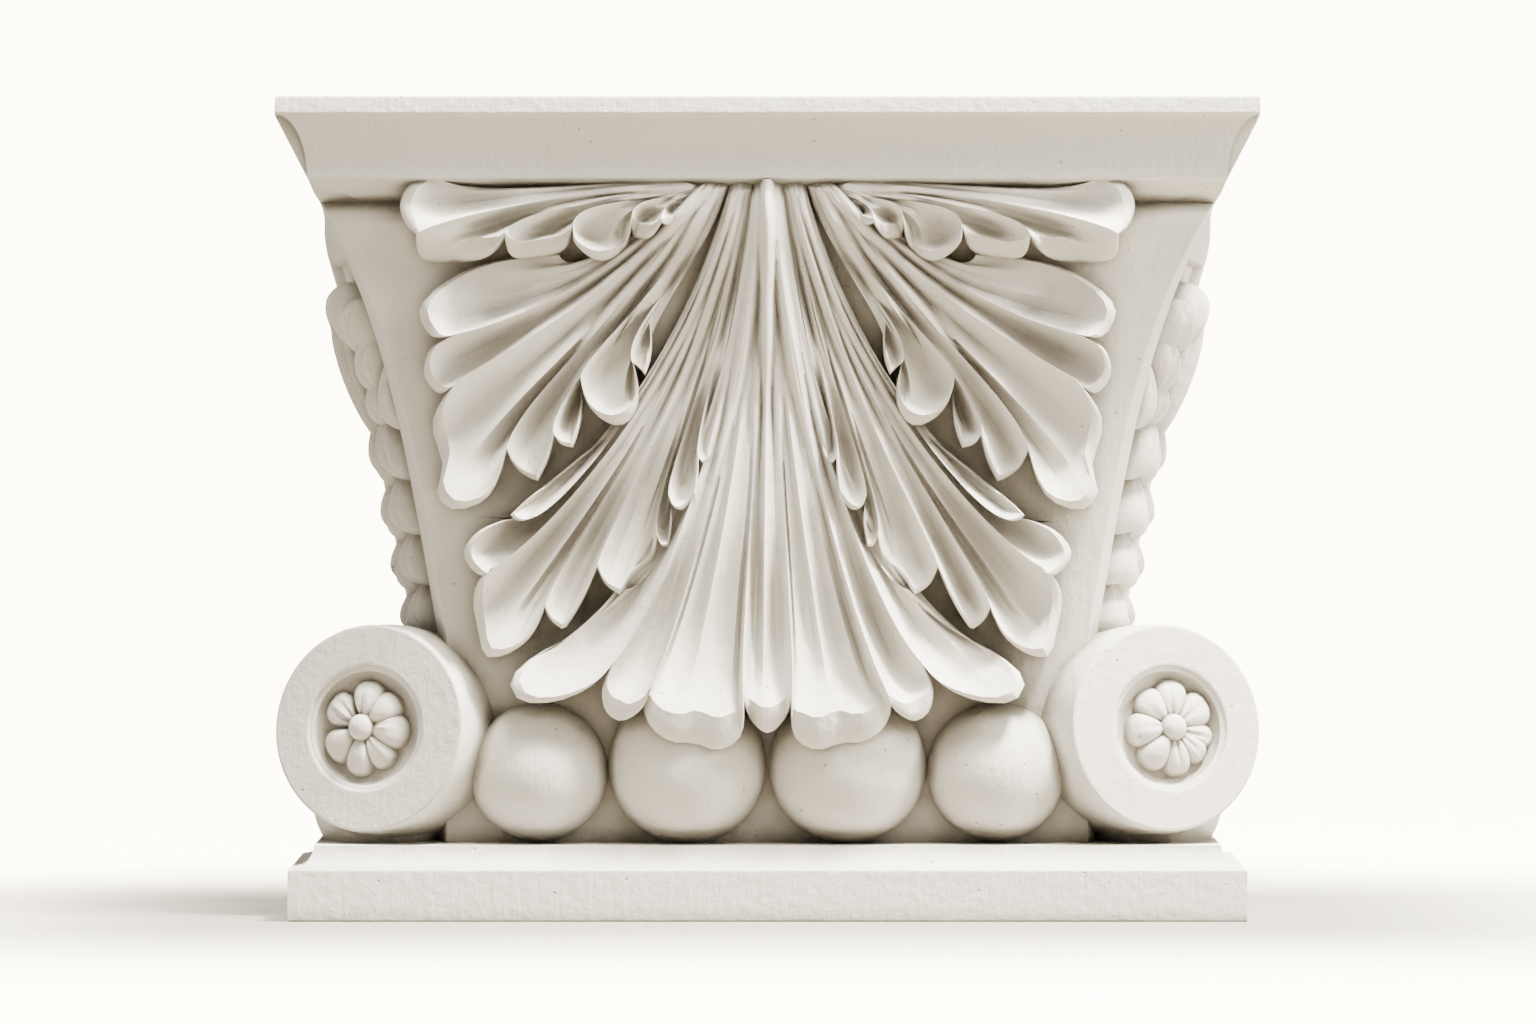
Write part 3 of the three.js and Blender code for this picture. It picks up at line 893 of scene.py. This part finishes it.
@dataclass(frozen=True)
class SideDrop:
    """A palmette on each side panel with tiers of husks hanging from it."""

    body: Body
    middle: float = 0.56
    palmette: tuple[Lobe, ...] = (
        Lobe(1.0, 303.0, 21.0, 26.0, 33.0, 0.0, -0.05),
        Lobe(20.0, 298.0, 17.0, 13.0, 29.0, 0.7, 0.0),
        Lobe(18.0, 280.0, 17.0, 12.0, 26.0, 0.7, 0.1),
        Lobe(14.0, 263.0, 16.0, 11.0, 23.0, 0.6, 0.2),
        Lobe(0.0, 277.0, 44.0, 9.0, 36.0, 0.0, -0.1),
        Lobe(27.0, 264.0, 17.0, 12.0, 15.0, 0.2, 0.3),
    )
    tiers: tuple[tuple[float, float], ...] = (
        (238.0, 22.0), (206.0, 18.0), (178.0, 16.0), (151.0, 15.0),
    )
    wide: float = 11.5
    proud: float = 21.0

    def place(self, along: Array, z: Array, out: Array) -> Array:
        """Lay points on the sunk panel of the right-hand side."""
        v = self.middle + along / (self.body.face(z) - self.body.band(z))
        x, d = self.body.side(v, z, out - self.body.sink)
        return np.stack([x, d, z], axis=-1)

    def lobe(self, lobe: Lobe) -> Shell:
        """Model one lobe: a long drop with a deep crease down its middle and one each side."""
        a = np.linspace(0.0, math.pi, 20)[:, None]
        b = (np.arange(44) * (2 * math.pi / 44))[None, :]
        up = np.cos(a) + 0 * b
        taper = 0.62 - lobe.full * up
        across = np.sin(a) * np.cos(b)
        out = np.sin(a) * np.sin(b)
        crease = 0.34 * np.exp(-((across / 0.13) ** 2))
        crease = crease + 0.20 * np.exp(-(((np.abs(across) - 0.48) / 0.12) ** 2))
        crease = crease * np.maximum(out, 0)
        x = lobe.along + across * lobe.wide * taper + lobe.lean * up * lobe.half * 0.4
        height = (out - crease) * lobe.proud * taper + 0.8
        points = self.place(x, lobe.z + up * lobe.half, height)
        return rings_shell(points[1:-1])

    def shells(self) -> list[Shell]:
        """Build the palmette and the husks below it, then the same for the other side."""
        lobes = []
        for one in self.palmette:
            ways = (1.0, -1.0) if abs(one.along) > 2.0 else (1.0,)
            lobes += [replace(one, along=way * one.along, lean=way * one.lean) for way in ways]
        for z, half in self.tiers:
            lobes += [Lobe(k * 12.0, z + abs(k) * 5.0, half, self.wide, self.proud, k * -0.5)
                      for k in (-1, 0, 1)]
        built = [self.lobe(one) for one in lobes]
        return built + [shell.mirrored() for shell in built]


# balls and scrolls


@dataclass(frozen=True)
class BallRow:
    """Four balls in a row on the foot slab: two larger in the middle, two smaller outside."""

    depth: float = 108.0
    inner: tuple[float, float, float] = (40.6, 76.6, 40.0)
    outer: tuple[float, float, float] = (116.0, 73.2, 35.2)

    def ball(self, x: float, z: float, radius: float) -> Shell:
        """Turn one ball whose poles point up and down, so its front is an even grid."""
        a = np.linspace(0.0, math.pi, 41)
        profile = np.column_stack([radius * np.sin(a), radius * np.cos(a)])
        shell = turned_shell(profile, 72)
        shell.points += np.array([x, self.depth, z])
        return shell

    def shells(self) -> list[Shell]:
        """Build the row."""
        right = [self.ball(*self.inner), self.ball(*self.outer)]
        return right + [shell.mirrored() for shell in right]


@dataclass(frozen=True)
class Petal:
    """One petal of a flower: where it points, how big it is and the creases that cut it.

    Angle is degrees anticlockwise from the photo's right on the left-hand flower. Creases are
    (side, strength) pairs, side running from -1 to 1 across the petal.
    """

    angle: float
    reach: float = 9.4
    wide: float = 10.2
    tall: float = 7.6
    creases: tuple[tuple[float, float], ...] = ((0.0, 0.2),)


@dataclass(frozen=True)
class Scroll:
    """A swelling drum at each lower corner, with a sunk eye and a flower of plump petals."""

    x: float = 201.5
    depth: float = 125.0
    z: float = 96.1
    turn: float = 20.0
    pitch: float = 6.0
    radius: float = 52.0
    belly: float = 54.6
    squash: float = 0.985
    eye: float = 30.5
    sink: float = 9.5
    length: float = 140.0
    eye_shift: float = 2.0
    flower_shift: tuple[float, float] = (4.6, 0.4)
    heel: tuple[float, float, float] = (197.0, 75.0, 60.0)
    heel_size: tuple[float, float, float] = (36.5, 45.0, 40.0)
    left: tuple[Petal, ...] = (
        Petal(83, 10.0, 10.6, 8.0, ((0.25, 0.30),)),
        Petal(40, 9.6, 9.6, 8.2, ()),
        Petal(-6, 10.4, 10.8, 7.8, ((0.45, 0.22), (-0.1, 0.14))),
        Petal(-52, 9.8, 9.0, 7.2, ((-0.1, 0.24),)),
        Petal(-96, 10.6, 9.2, 8.0, ((0.15, 0.14), (-0.2, 0.10))),
        Petal(-146, 10.0, 11.2, 7.6, ()),
        Petal(146, 10.0, 11.2, 7.2, ((0.3, 0.45), (-0.35, 0.35))),
    )
    right: tuple[Petal, ...] = (
        Petal(87, 10.4, 10.8, 7.4, ((-0.2, 0.30),)),
        Petal(131, 9.6, 10.2, 7.2, ((-0.4, 0.16),)),
        Petal(-177, 10.2, 10.8, 8.2, ((0.2, 0.16),)),
        Petal(-127, 10.4, 10.0, 8.4, ()),
        Petal(-82, 10.8, 9.6, 8.0, ((0.0, 0.30),)),
        Petal(-42, 10.0, 8.6, 7.2, ((0.0, 0.22),)),
        Petal(-14, 10.2, 7.6, 6.4, ((0.1, 0.35),)),
        Petal(32, 10.8, 11.6, 7.2, ((-0.1, 0.30),)),
    )

    def profile(self) -> Array:
        """Return the drum's section as (radius, distance forward of its face)."""
        a = np.linspace(0.0, 1.0, 22)
        back = -self.length * (1 - a)
        swell = self.radius * 0.96 + (self.belly - self.radius * 0.96) * np.sin(math.pi * a * 0.62)
        swell = np.where(a > 0.8, swell - (swell - self.radius - 0.5) * smooth(0.8, 1.0, a), swell)
        body = np.column_stack([swell[:-1], back[:-1]])
        r = self.radius
        rim = [[r + 0.5, -2.6], [r + 0.4, -2.0], [r, -0.6], [r - 0.9, 0.0], [r - 1.5, 0.0]]
        eye = self.eye
        edge = [
            [eye + 2.8, 0.0], [eye + 2.2, 0.0], [eye + 1.4, -0.3], [eye + 1.0, -1.2],
            [eye + 0.8, -1.7], [eye - 0.4, -1.9], [eye - 1.0, -2.3],
        ]
        w = np.linspace(0.0, math.pi / 2, 9)
        cove = np.column_stack([
            eye - 1.6 - 8.0 * (1 - np.cos(w)),
            -2.6 - (self.sink - 2.6) * np.sin(w),
        ])
        start, end = [0.0, -self.length], [0.0, -self.sink]
        return np.vstack([start, body, rim, edge, cove, end])

    def drum(self) -> Shell:
        """Turn the drum; its eye sits a little towards the outer side of the face."""
        shell = turned_shell(self.profile(), 112)
        spread = np.hypot(shell.points[:, 0], shell.points[:, 1])
        near = 1.0 - smooth(self.eye + 3.0, self.radius - 1.5, spread)
        near *= smooth(-self.length * 0.5, -self.sink - 1.0, shell.points[:, 2])
        shell.points[:, 0] -= self.eye_shift * near
        return shell

    def petal(self, petal: Petal, side: float) -> Shell:
        """Model one petal: a plump pillow, narrow at the button, with creases running out.

        Args:
            petal: Which petal.
            side: -1 on the left-hand flower, 1 on the right-hand one.

        Returns:
            The petal in the drum's own frame.
        """
        a = np.linspace(0.0, math.pi, 22)[1:-1, None]
        b = (np.arange(32) * (2 * math.pi / 32))[None, :]
        along = -np.cos(a) + 0 * b
        across = np.sin(a) * np.cos(b)
        out = np.sin(a) * np.sin(b)
        fold = np.zeros_like(out)
        for place, strength in petal.creases:
            line = (across - place * np.sin(a)) / 0.17
            fold += strength * np.exp(-(line**2)) * (0.62 - 0.42 * along)
        r = 14.2 + petal.reach * along
        w = petal.wide * across * (0.74 + 0.30 * along)
        plump = np.sign(out) * np.abs(out) ** 0.8
        h = -self.sink + 2.0 + petal.tall * (plump - fold * np.maximum(out, 0)) - 1.2 * along
        angle = math.radians(petal.angle)
        ahead = (-math.cos(angle) * side, math.sin(angle))
        x = r * ahead[0] - w * ahead[1]
        y = r * ahead[1] + w * ahead[0]
        return rings_shell(np.stack([x, y, h], axis=-1))

    def button(self) -> Shell:
        """Turn the round button at the middle of the flower."""
        a = np.linspace(0.0, math.pi, 19)
        profile = np.column_stack([6.9 * np.sin(a), 6.4 * np.cos(a) - self.sink + 7.0])
        return turned_shell(profile, 36)

    def foot(self) -> Shell:
        """Round out the heel under the drum, which rests on the foot slab."""
        a = np.linspace(0.0, math.pi, 41)
        shell = turned_shell(np.column_stack([np.sin(a), np.cos(a)]), 72)
        shell.points = shell.points * np.array(self.heel_size) + np.array(self.heel)
        return shell.outward()

    def shells(self) -> list[Shell]:
        """Build both scrolls, each turned out to its own side."""
        turn = math.radians(self.turn)
        lift = math.tan(math.radians(self.pitch))
        axis = np.array([math.sin(turn), math.cos(turn), lift])
        axis /= np.linalg.norm(axis)
        up = np.array([0.0, 0.0, 1.0]) - axis * axis[2]
        up /= np.linalg.norm(up)
        across = np.cross(up, axis)
        frame = np.stack([across * self.squash, up, axis])
        centre = np.array([self.x, self.depth, self.z])
        shift = np.array([-self.flower_shift[0], self.flower_shift[1], 0.0])
        built = []
        for petals, side in ((self.left, -1.0), (self.right, 1.0)):
            flower = [self.button()] + [self.petal(petal, side) for petal in petals]
            for shell in flower:
                shell.points = shell.points + shift
            placed = [
                Shell(s.points @ frame + centre, s.quads, s.triangles).outward()
                for s in [self.drum()] + flower
            ]
            placed[0].points -= np.minimum(placed[0].points[:, 1:2], 0.0) * axis / axis[1]
            placed.append(self.foot())
            built += placed if side > 0 else [shell.mirrored() for shell in placed]
        return built


# the casting


def make_mesh(name: str, shell: Shell) -> bpy.types.Mesh:
    """Turn a shell into a Blender mesh in metres with the carved face towards -Y.

    Args:
        name: Mesh name.
        shell: Closed skin in millimetres.

    Returns:
        The new mesh.
    """
    points = shell.points * MM
    points[:, 1] = DEPTH * MM / 2 - points[:, 1]
    mesh = bpy.data.meshes.new(name)
    faces = [tuple(q) for q in shell.quads.tolist()] + [tuple(t) for t in shell.triangles.tolist()]
    mesh.from_pydata(points.tolist(), [], faces)
    mesh.validate()
    return mesh


@dataclass
class Casting:
    """The whole capital: every shell joined into one closed casting."""

    body: Body = field(default_factory=Body)

    def shells(self) -> list[tuple[str, list[Shell]]]:
        """List the shells of each sub-assembly in the order they are joined."""
        return [
            ("body", self.body.shells()),
            ("abacus", Abacus().shells()),
            ("foot slab", FootSlab().shells()),
            ("balls", BallRow().shells()),
            ("scrolls", Scroll().shells()),
            ("front leaves", FrontLeaves(self.body, FIRST, SECOND, THIRD, MIDDLE).shells()),
            ("side drops", SideDrop(self.body).shells()),
        ]

    def build(self) -> bpy.types.Object:
        """Join the shells into one mesh and return its object."""
        scene = bpy.context.scene
        core = None
        cutters = bpy.data.collections.new("shells")
        scene.collection.children.link(cutters)
        for name, shells in self.shells():
            total = 0
            for number, shell in enumerate(shells):
                mesh = make_mesh(f"{name}_{number}", shell)
                total += 2 * len(shell.quads) + len(shell.triangles)
                piece = bpy.data.objects.new(mesh.name, mesh)
                if core is None:
                    core = piece
                    scene.collection.objects.link(core)
                else:
                    cutters.objects.link(piece)
            LOG.info("%s: %d shells, %d triangles", name, len(shells), total)
        join = core.modifiers.new("join", "BOOLEAN")
        join.operation = "UNION"
        join.operand_type = "COLLECTION"
        join.collection = cutters
        join.solver = "MANIFOLD"
        graph = bpy.context.evaluated_depsgraph_get()
        mesh = bpy.data.meshes.new_from_object(core.evaluated_get(graph))
        mesh.name = "capital_cast"
        capital = bpy.data.objects.new("capital_cast", mesh)
        scene.collection.objects.link(capital)
        for piece in list(cutters.objects) + [core]:
            bpy.data.objects.remove(piece, do_unlink=True)
        bpy.data.collections.remove(cutters)
        mesh.shade_smooth()
        mesh.set_sharp_from_angle(angle=math.radians(38))
        mesh.materials.clear()
        return capital


# plaster


class Net:
    """Short ways to add and join the nodes of one shader tree."""

    def __init__(self, tree: bpy.types.NodeTree) -> None:
        self.tree = tree

    def put(self, socket: bpy.types.NodeSocket, value: Any) -> None:
        """Join an output to an input, or set the input to a constant."""
        if isinstance(value, bpy.types.NodeSocket):
            self.tree.links.new(value, socket)
        elif value is not None:
            socket.default_value = value

    def add(self, kind: str, *values: Any, **named: Any) -> bpy.types.Node:
        """Add a node, feed its first inputs in order and its named inputs by name."""
        node = self.tree.nodes.new(kind)
        for socket, value in zip(node.inputs, values):
            self.put(socket, value)
        for name, value in named.items():
            self.put(node.inputs[name.replace("_", " ").title()], value)
        return node

    def math(self, operation: str, *values: Any) -> bpy.types.NodeSocket:
        """Add one arithmetic node."""
        node = self.tree.nodes.new("ShaderNodeMath")
        node.operation = operation
        for socket, value in zip(node.inputs, values):
            self.put(socket, value)
        return node.outputs[0]

    def mixed(self, *terms: tuple[Any, float]) -> bpy.types.NodeSocket:
        """Add up outputs, each times its own weight."""
        total = None
        for value, weight in terms:
            term = self.math("MULTIPLY", value, weight)
            total = term if total is None else self.math("ADD", total, term)
        return total

    def span(self, value: Any, low: float, high: float) -> bpy.types.NodeSocket:
        """Run a value from 0 at low to 1 at high, eased at both ends."""
        node = self.tree.nodes.new("ShaderNodeMapRange")
        node.interpolation_type = "SMOOTHSTEP"
        self.put(node.inputs["Value"], value)
        node.inputs["From Min"].default_value = low
        node.inputs["From Max"].default_value = high
        return node.outputs[0]

    def blend(self, share: Any, under: Any, over: Any) -> bpy.types.NodeSocket:
        """Mix two colours, either a plain colour or an output, by a share from 0 to 1."""
        node = self.tree.nodes.new("ShaderNodeMix")
        node.data_type = "RGBA"
        self.put(node.inputs[0], share)
        for socket, value in ((node.inputs[6], under), (node.inputs[7], over)):
            self.put(socket, (*value, 1.0) if isinstance(value, tuple) else value)
        return node.outputs[2]


def new_group(
    name: str, inputs: tuple[tuple[str, str], ...], outputs: tuple[tuple[str, str], ...]
) -> tuple[bpy.types.NodeTree, bpy.types.Node, bpy.types.Node]:
    """Start a shared shader group.

    Args:
        name: Group name.
        inputs: Names and kinds of its inputs.
        outputs: Names and kinds of its outputs.

    Returns:
        The group, its input node and its output node.
    """
    tree = bpy.data.node_groups.new(name, "ShaderNodeTree")
    for label, kind in inputs:
        tree.interface.new_socket(label, in_out="INPUT", socket_type=kind)
    for label, kind in outputs:
        tree.interface.new_socket(label, in_out="OUTPUT", socket_type=kind)
    return tree, tree.nodes.new("NodeGroupInput"), tree.nodes.new("NodeGroupOutput")


@dataclass(frozen=True)
class Marks:
    """The marks of the cast surface.

    Cloud, mottle, cells, drag, soft and grain are how many turns each takes in a metre. Pitted
    is the share of the cells that hold a pinhole, and hole is where its rim begins and ends.
    """

    cloud: float = 8.0
    mottle: float = 70.0
    cells: float = 170.0
    drag: float = 330.0
    soft: float = 190.0
    grain: float = 1100.0
    pitted: float = 0.10
    hole: tuple[float, float] = (0.05, 0.16)
    drag_turn: tuple[float, float, float] = (0.3, 0.5, 0.6)
    drag_stretch: tuple[float, float, float] = (1.0, 1.0, 0.16)

    def group(self) -> bpy.types.NodeTree:
        """Make the shared group.

        Returns:
            A group from a place on the object to its tone, pits and height, each 0 to 1.
        """
        kinds = (("Tone", "NodeSocketFloat"), ("Pits", "NodeSocketFloat"))
        kinds = kinds + (("Height", "NodeSocketFloat"),)
        tree, start, end = new_group("cast_surface", (("Vector", "NodeSocketVector"),), kinds)
        net = Net(tree)
        place = start.outputs["Vector"]

        def noise(scale: float, detail: float, where: Any = place) -> bpy.types.NodeSocket:
            node = net.add("ShaderNodeTexNoise", Vector=where, Scale=scale, Detail=detail)
            return node.outputs[0]

        cloud = net.span(noise(self.cloud, 4.0), 0.35, 0.68)
        mottle = net.span(noise(self.mottle, 6.0), 0.30, 0.72)
        tone = net.mixed((cloud, 0.6), (mottle, 0.4))
        cells = net.add("ShaderNodeTexVoronoi", Vector=place, Scale=self.cells)
        chance = net.add("ShaderNodeSeparateColor", cells.outputs["Color"]).outputs[0]
        chosen = net.math("GREATER_THAN", chance, 1.0 - self.pitted)
        hole = net.math("SUBTRACT", 1.0, net.span(cells.outputs["Distance"], *self.hole))
        pits = net.math("MULTIPLY", hole, chosen)
        drawn = net.add("ShaderNodeMapping", Vector=place)
        drawn.inputs["Rotation"].default_value = self.drag_turn
        drawn.inputs["Scale"].default_value = self.drag_stretch
        drag = noise(self.drag, 4.0, drawn.outputs[0])
        soft = noise(self.soft, 5.0)
        grain = noise(self.grain, 3.0)
        height = net.mixed((drag, 0.5), (soft, 0.9), (grain, 0.22), (pits, -1.5))
        net.put(end.inputs["Tone"], tone)
        net.put(end.inputs["Pits"], pits)
        net.put(end.inputs["Height"], height)
        return tree


def hollow_group(rays: int = 8) -> bpy.types.NodeTree:
    """Make the hollow mask: how shut in a place is, near by and further off.

    Args:
        rays: How many rays feel for the walls round a place. Fewer also change the tone.

    Returns:
        A group that puts out 0 in the open and 1 in a deep cut.
    """
    tree, start, end = new_group(
        "hollows",
        (("Near", "NodeSocketFloat"), ("Far", "NodeSocketFloat")),
        (("Hollow", "NodeSocketFloat"),),
    )
    net = Net(tree)
    near = net.add("ShaderNodeAmbientOcclusion", Distance=start.outputs["Near"])
    far = net.add("ShaderNodeAmbientOcclusion", Distance=start.outputs["Far"])
    for node in (near, far):
        node.samples = rays
    both = net.math("MULTIPLY", near.outputs["AO"], far.outputs["AO"])
    net.put(end.inputs["Hollow"], net.math("SUBTRACT", 1.0, both))
    return tree


@dataclass(frozen=True)
class Plaster:
    """Matt off-white cast plaster with pinholes and worn pale arrises, with painted shade in its
    hollows.
    """

    pale: tuple[float, float, float] = (0.83, 0.81, 0.765)
    dull: tuple[float, float, float] = (0.775, 0.75, 0.70)
    # Painted shade: the dark tone laid into the hollows, also used to darken the pinholes.
    shade_and_pit_tone: tuple[float, float, float] = (0.27, 0.25, 0.21)
    worn: tuple[float, float, float] = (0.88, 0.865, 0.83)
    rough: float = 0.74
    near: float = 0.009
    far: float = 0.030
    bump: float = 0.0012
    bump_strength: float = 0.6
    specular: float = 0.35
    arris: tuple[float, float] = (0.515, 0.60)
    shut: tuple[float, float] = (0.22, 0.95)

    def build(self) -> bpy.types.Material:
        """Build the material from the shared groups.

        Tone runs from pale to dull plaster. Sharp arrises are worn paler and smoother. Painted
        shade darkens the hollows, and the pinholes are darkened as well. Arris and shut are where
        each mask begins and is full.

        Returns:
            The material.
        """
        material = bpy.data.materials.new("plaster")
        material.use_nodes = True
        tree = material.node_tree
        shader = tree.nodes["Principled BSDF"]
        net = Net(tree)
        place = net.add("ShaderNodeTexCoord").outputs["Object"]
        surface = tree.nodes.new("ShaderNodeGroup")
        surface.node_tree = Marks().group()
        net.put(surface.inputs["Vector"], place)
        hollows = tree.nodes.new("ShaderNodeGroup")
        hollows.node_tree = hollow_group()
        hollows.inputs["Near"].default_value = self.near
        hollows.inputs["Far"].default_value = self.far
        tone, pits = surface.outputs["Tone"], surface.outputs["Pits"]
        point = net.add("ShaderNodeNewGeometry").outputs["Pointiness"]
        worn = net.math("MULTIPLY", net.span(point, *self.arris), 0.8)
        colour = net.blend(tone, self.pale, self.dull)
        colour = net.blend(worn, colour, self.worn)
        # Painted shade: the colour goes towards the dark tone where the hollow mask finds a place
        # shut in, and in the pinholes.
        shade = net.span(hollows.outputs["Hollow"], *self.shut)
        shade_and_pits = net.math("MULTIPLY", shade, net.math("ADD", 0.75, net.math("MULTIPLY", tone, 0.25)))
        shade_and_pits = net.math("MAXIMUM", shade_and_pits, net.math("MULTIPLY", pits, 0.7))
        colour = net.blend(shade_and_pits, colour, self.shade_and_pit_tone)
        net.put(shader.inputs["Base Color"], colour)
        rough = net.math("ADD", self.rough - 0.05, net.math("MULTIPLY", tone, 0.12))
        rough = net.math("SUBTRACT", rough, net.math("MULTIPLY", worn, 0.10))
        net.put(shader.inputs["Roughness"], rough)
        shader.inputs["Specular IOR Level"].default_value = self.specular
        bump = net.add("ShaderNodeBump")
        bump.inputs["Strength"].default_value = self.bump_strength
        bump.inputs["Distance"].default_value = self.bump
        net.put(bump.inputs["Height"], surface.outputs["Height"])
        net.put(shader.inputs["Normal"], bump.outputs[0])
        return material


@dataclass(frozen=True)
class Lamp:
    """One soft area light: where it hangs, its size, its power and its colour."""

    name: str
    place: tuple[float, float, float]
    size: float
    power: float
    colour: tuple[float, float, float] = (1.0, 0.94, 0.815)
    aim: tuple[float, float, float] = (0.0, 0.0, 0.22)

    def hang(self) -> None:
        """Hang the light and turn it to its aim."""
        data = bpy.data.lights.new(self.name, "AREA")
        data.shape = "DISK"
        data.size = self.size
        data.energy = self.power
        data.color = self.colour
        lamp = bpy.data.objects.new(self.name, data)
        way = np.array(self.aim) - np.array(self.place)
        tilt = math.atan2(math.hypot(way[0], way[1]), -way[2])
        lamp.location = self.place
        lamp.rotation_euler = (tilt, 0.0, math.atan2(way[1], way[0]) - math.pi / 2)
        bpy.context.scene.collection.objects.link(lamp)


@dataclass(frozen=True)
class Studio:
    """Pale sweep, soft key from the upper right and the camera square to the face.

    Page is how bright the page is to the camera, fill the light that the casting gets from all
    round. Glow is the floor's share of the page's light beside the casting, and glow_reach is how
    far away it has all of it, in metres.
    """

    distance: float = 3.030
    eye: float = 0.205
    lens: float = 135.0
    page: tuple[float, float, float] = (13.6, 12.2, 9.8)
    fill: tuple[float, float, float] = (0.10, 0.095, 0.083)
    paper_seen: tuple[float, float, float] = (0.27, 0.265, 0.25)
    paper_bounce: tuple[float, float, float] = (0.24, 0.22, 0.19)
    glow: float = 0.06
    glow_reach: float = 0.42
    lamps: tuple[Lamp, ...] = (
        Lamp("key", (0.75, -0.42, 1.90), 0.40, 270.0),
        Lamp("top", (0.20, -0.75, 2.00), 0.60, 62.0),
        Lamp("right", (1.90, -0.45, 0.90), 0.50, 60.0),
        Lamp("front", (1.20, -1.60, 1.20), 0.90, 12.0),
        Lamp("left", (-1.80, -0.50, 0.80), 1.20, 12.0),
    )

    def floor(self) -> bpy.types.Object:
        """Build the floor and its rising backdrop as one swept sheet."""
        turn = np.linspace(0.1, 1.57, 16)
        y = np.concatenate([np.linspace(-6.0, 2.2, 12), 2.2 + 1.2 * np.sin(turn), [3.4]])
        z = np.concatenate([np.zeros(12), 1.2 - 1.2 * np.cos(turn), [6.0]])
        across, along = np.meshgrid(np.array([-6.0, 6.0]), y)
        points = np.stack([across, along, np.repeat(z[:, None], 2, axis=1)], axis=-1)
        mesh = bpy.data.meshes.new("floor")
        faces = grid_quads(y.size, 2, False)[:, ::-1]
        mesh.from_pydata(points.reshape(-1, 3).tolist(), [], faces.tolist())
        mesh.shade_smooth()
        floor = bpy.data.objects.new("floor", mesh)
        bpy.context.scene.collection.objects.link(floor)
        mesh.materials.append(self.paper())
        return floor

    def paper(self) -> bpy.types.Material:
        """Make the floor paper.

        Seen by the camera it glows more the further it is from the capital, so it runs into the
        page. For light that bounces it is a dull grey, which keeps the undersides of the carving
        dark.

        Returns:
            The material.
        """
        material = bpy.data.materials.new("floor")
        material.use_nodes = True
        tree = material.node_tree
        tree.nodes.clear()
        net = Net(tree)
        place = net.add("ShaderNodeNewGeometry").outputs["Position"]
        split = net.add("ShaderNodeSeparateXYZ", place)
        side = net.math("SUBTRACT", net.math("ABSOLUTE", split.outputs["X"]), WIDTH * MM / 2)
        side = net.math("MAXIMUM", side, 0.0)
        front = net.math("SUBTRACT", net.math("ABSOLUTE", split.outputs["Y"]), DEPTH * MM / 2)
        front = net.math("MAXIMUM", front, 0.0)
        away = net.math("SQRT", net.math("ADD", net.math("MULTIPLY", side, side),
                                         net.math("MULTIPLY", front, front)))
        grow = net.span(away, 0.0, self.glow_reach)
        rise = net.math("ADD", net.math("MULTIPLY", grow, 1.0 - self.glow), self.glow)
        glow = net.add("ShaderNodeEmission", (*self.page, 1.0), rise)
        pale = net.add("ShaderNodeBsdfDiffuse", (*self.paper_seen, 1.0))
        dull = net.add("ShaderNodeBsdfDiffuse", (*self.paper_bounce, 1.0))
        seen = net.add("ShaderNodeAddShader", pale.outputs[0], glow.outputs[0])
        ray = net.add("ShaderNodeLightPath").outputs["Is Camera Ray"]
        mix = net.add("ShaderNodeMixShader", ray, dull.outputs[0], seen.outputs[0])
        net.add("ShaderNodeOutputMaterial", mix.outputs[0])
        return material

    def sky(self) -> None:
        """Set the world: page white for the camera, a low warm fill for the carving."""
        world = bpy.data.worlds.new("studio")
        world.use_nodes = True
        tree = world.node_tree
        tree.nodes.clear()
        net = Net(tree)
        ray = net.add("ShaderNodeLightPath").outputs["Is Camera Ray"]
        fill = net.add("ShaderNodeBackground", (*self.fill, 1.0), 1.0)
        page = net.add("ShaderNodeBackground", (*self.page, 1.0), 1.0)
        mix = net.add("ShaderNodeMixShader", ray, fill.outputs[0], page.outputs[0])
        net.add("ShaderNodeOutputWorld", mix.outputs[0])
        bpy.context.scene.world = world

    def camera(self) -> None:
        """Stand the camera level, square to the face, with a long lens."""
        data = bpy.data.cameras.new("camera")
        data.lens = self.lens
        data.sensor_width = 36.0
        camera = bpy.data.objects.new("camera", data)
        camera.location = (0.00025, DEPTH * MM / 2 - self.distance, self.eye)
        camera.rotation_euler = (math.pi / 2, 0.0, 0.0)
        bpy.context.scene.collection.objects.link(camera)
        bpy.context.scene.camera = camera

    def build(self) -> None:
        """Set the camera, the floor, the world and the lamps."""
        self.camera()
        self.floor()
        self.sky()
        for lamp in self.lamps:
            lamp.hang()


def main() -> None:
    """Build the scene in order and report each piece."""
    logging.basicConfig(level=logging.INFO, format="%(message)s")
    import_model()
    Studio().build()
    capital = Casting().build()
    capital.data.materials.append(Plaster().build())
    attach(capital, "root")
    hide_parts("capital")
    LOG.info("capital: %d faces", len(capital.data.polygons))


if __name__ == "__main__":
    main()
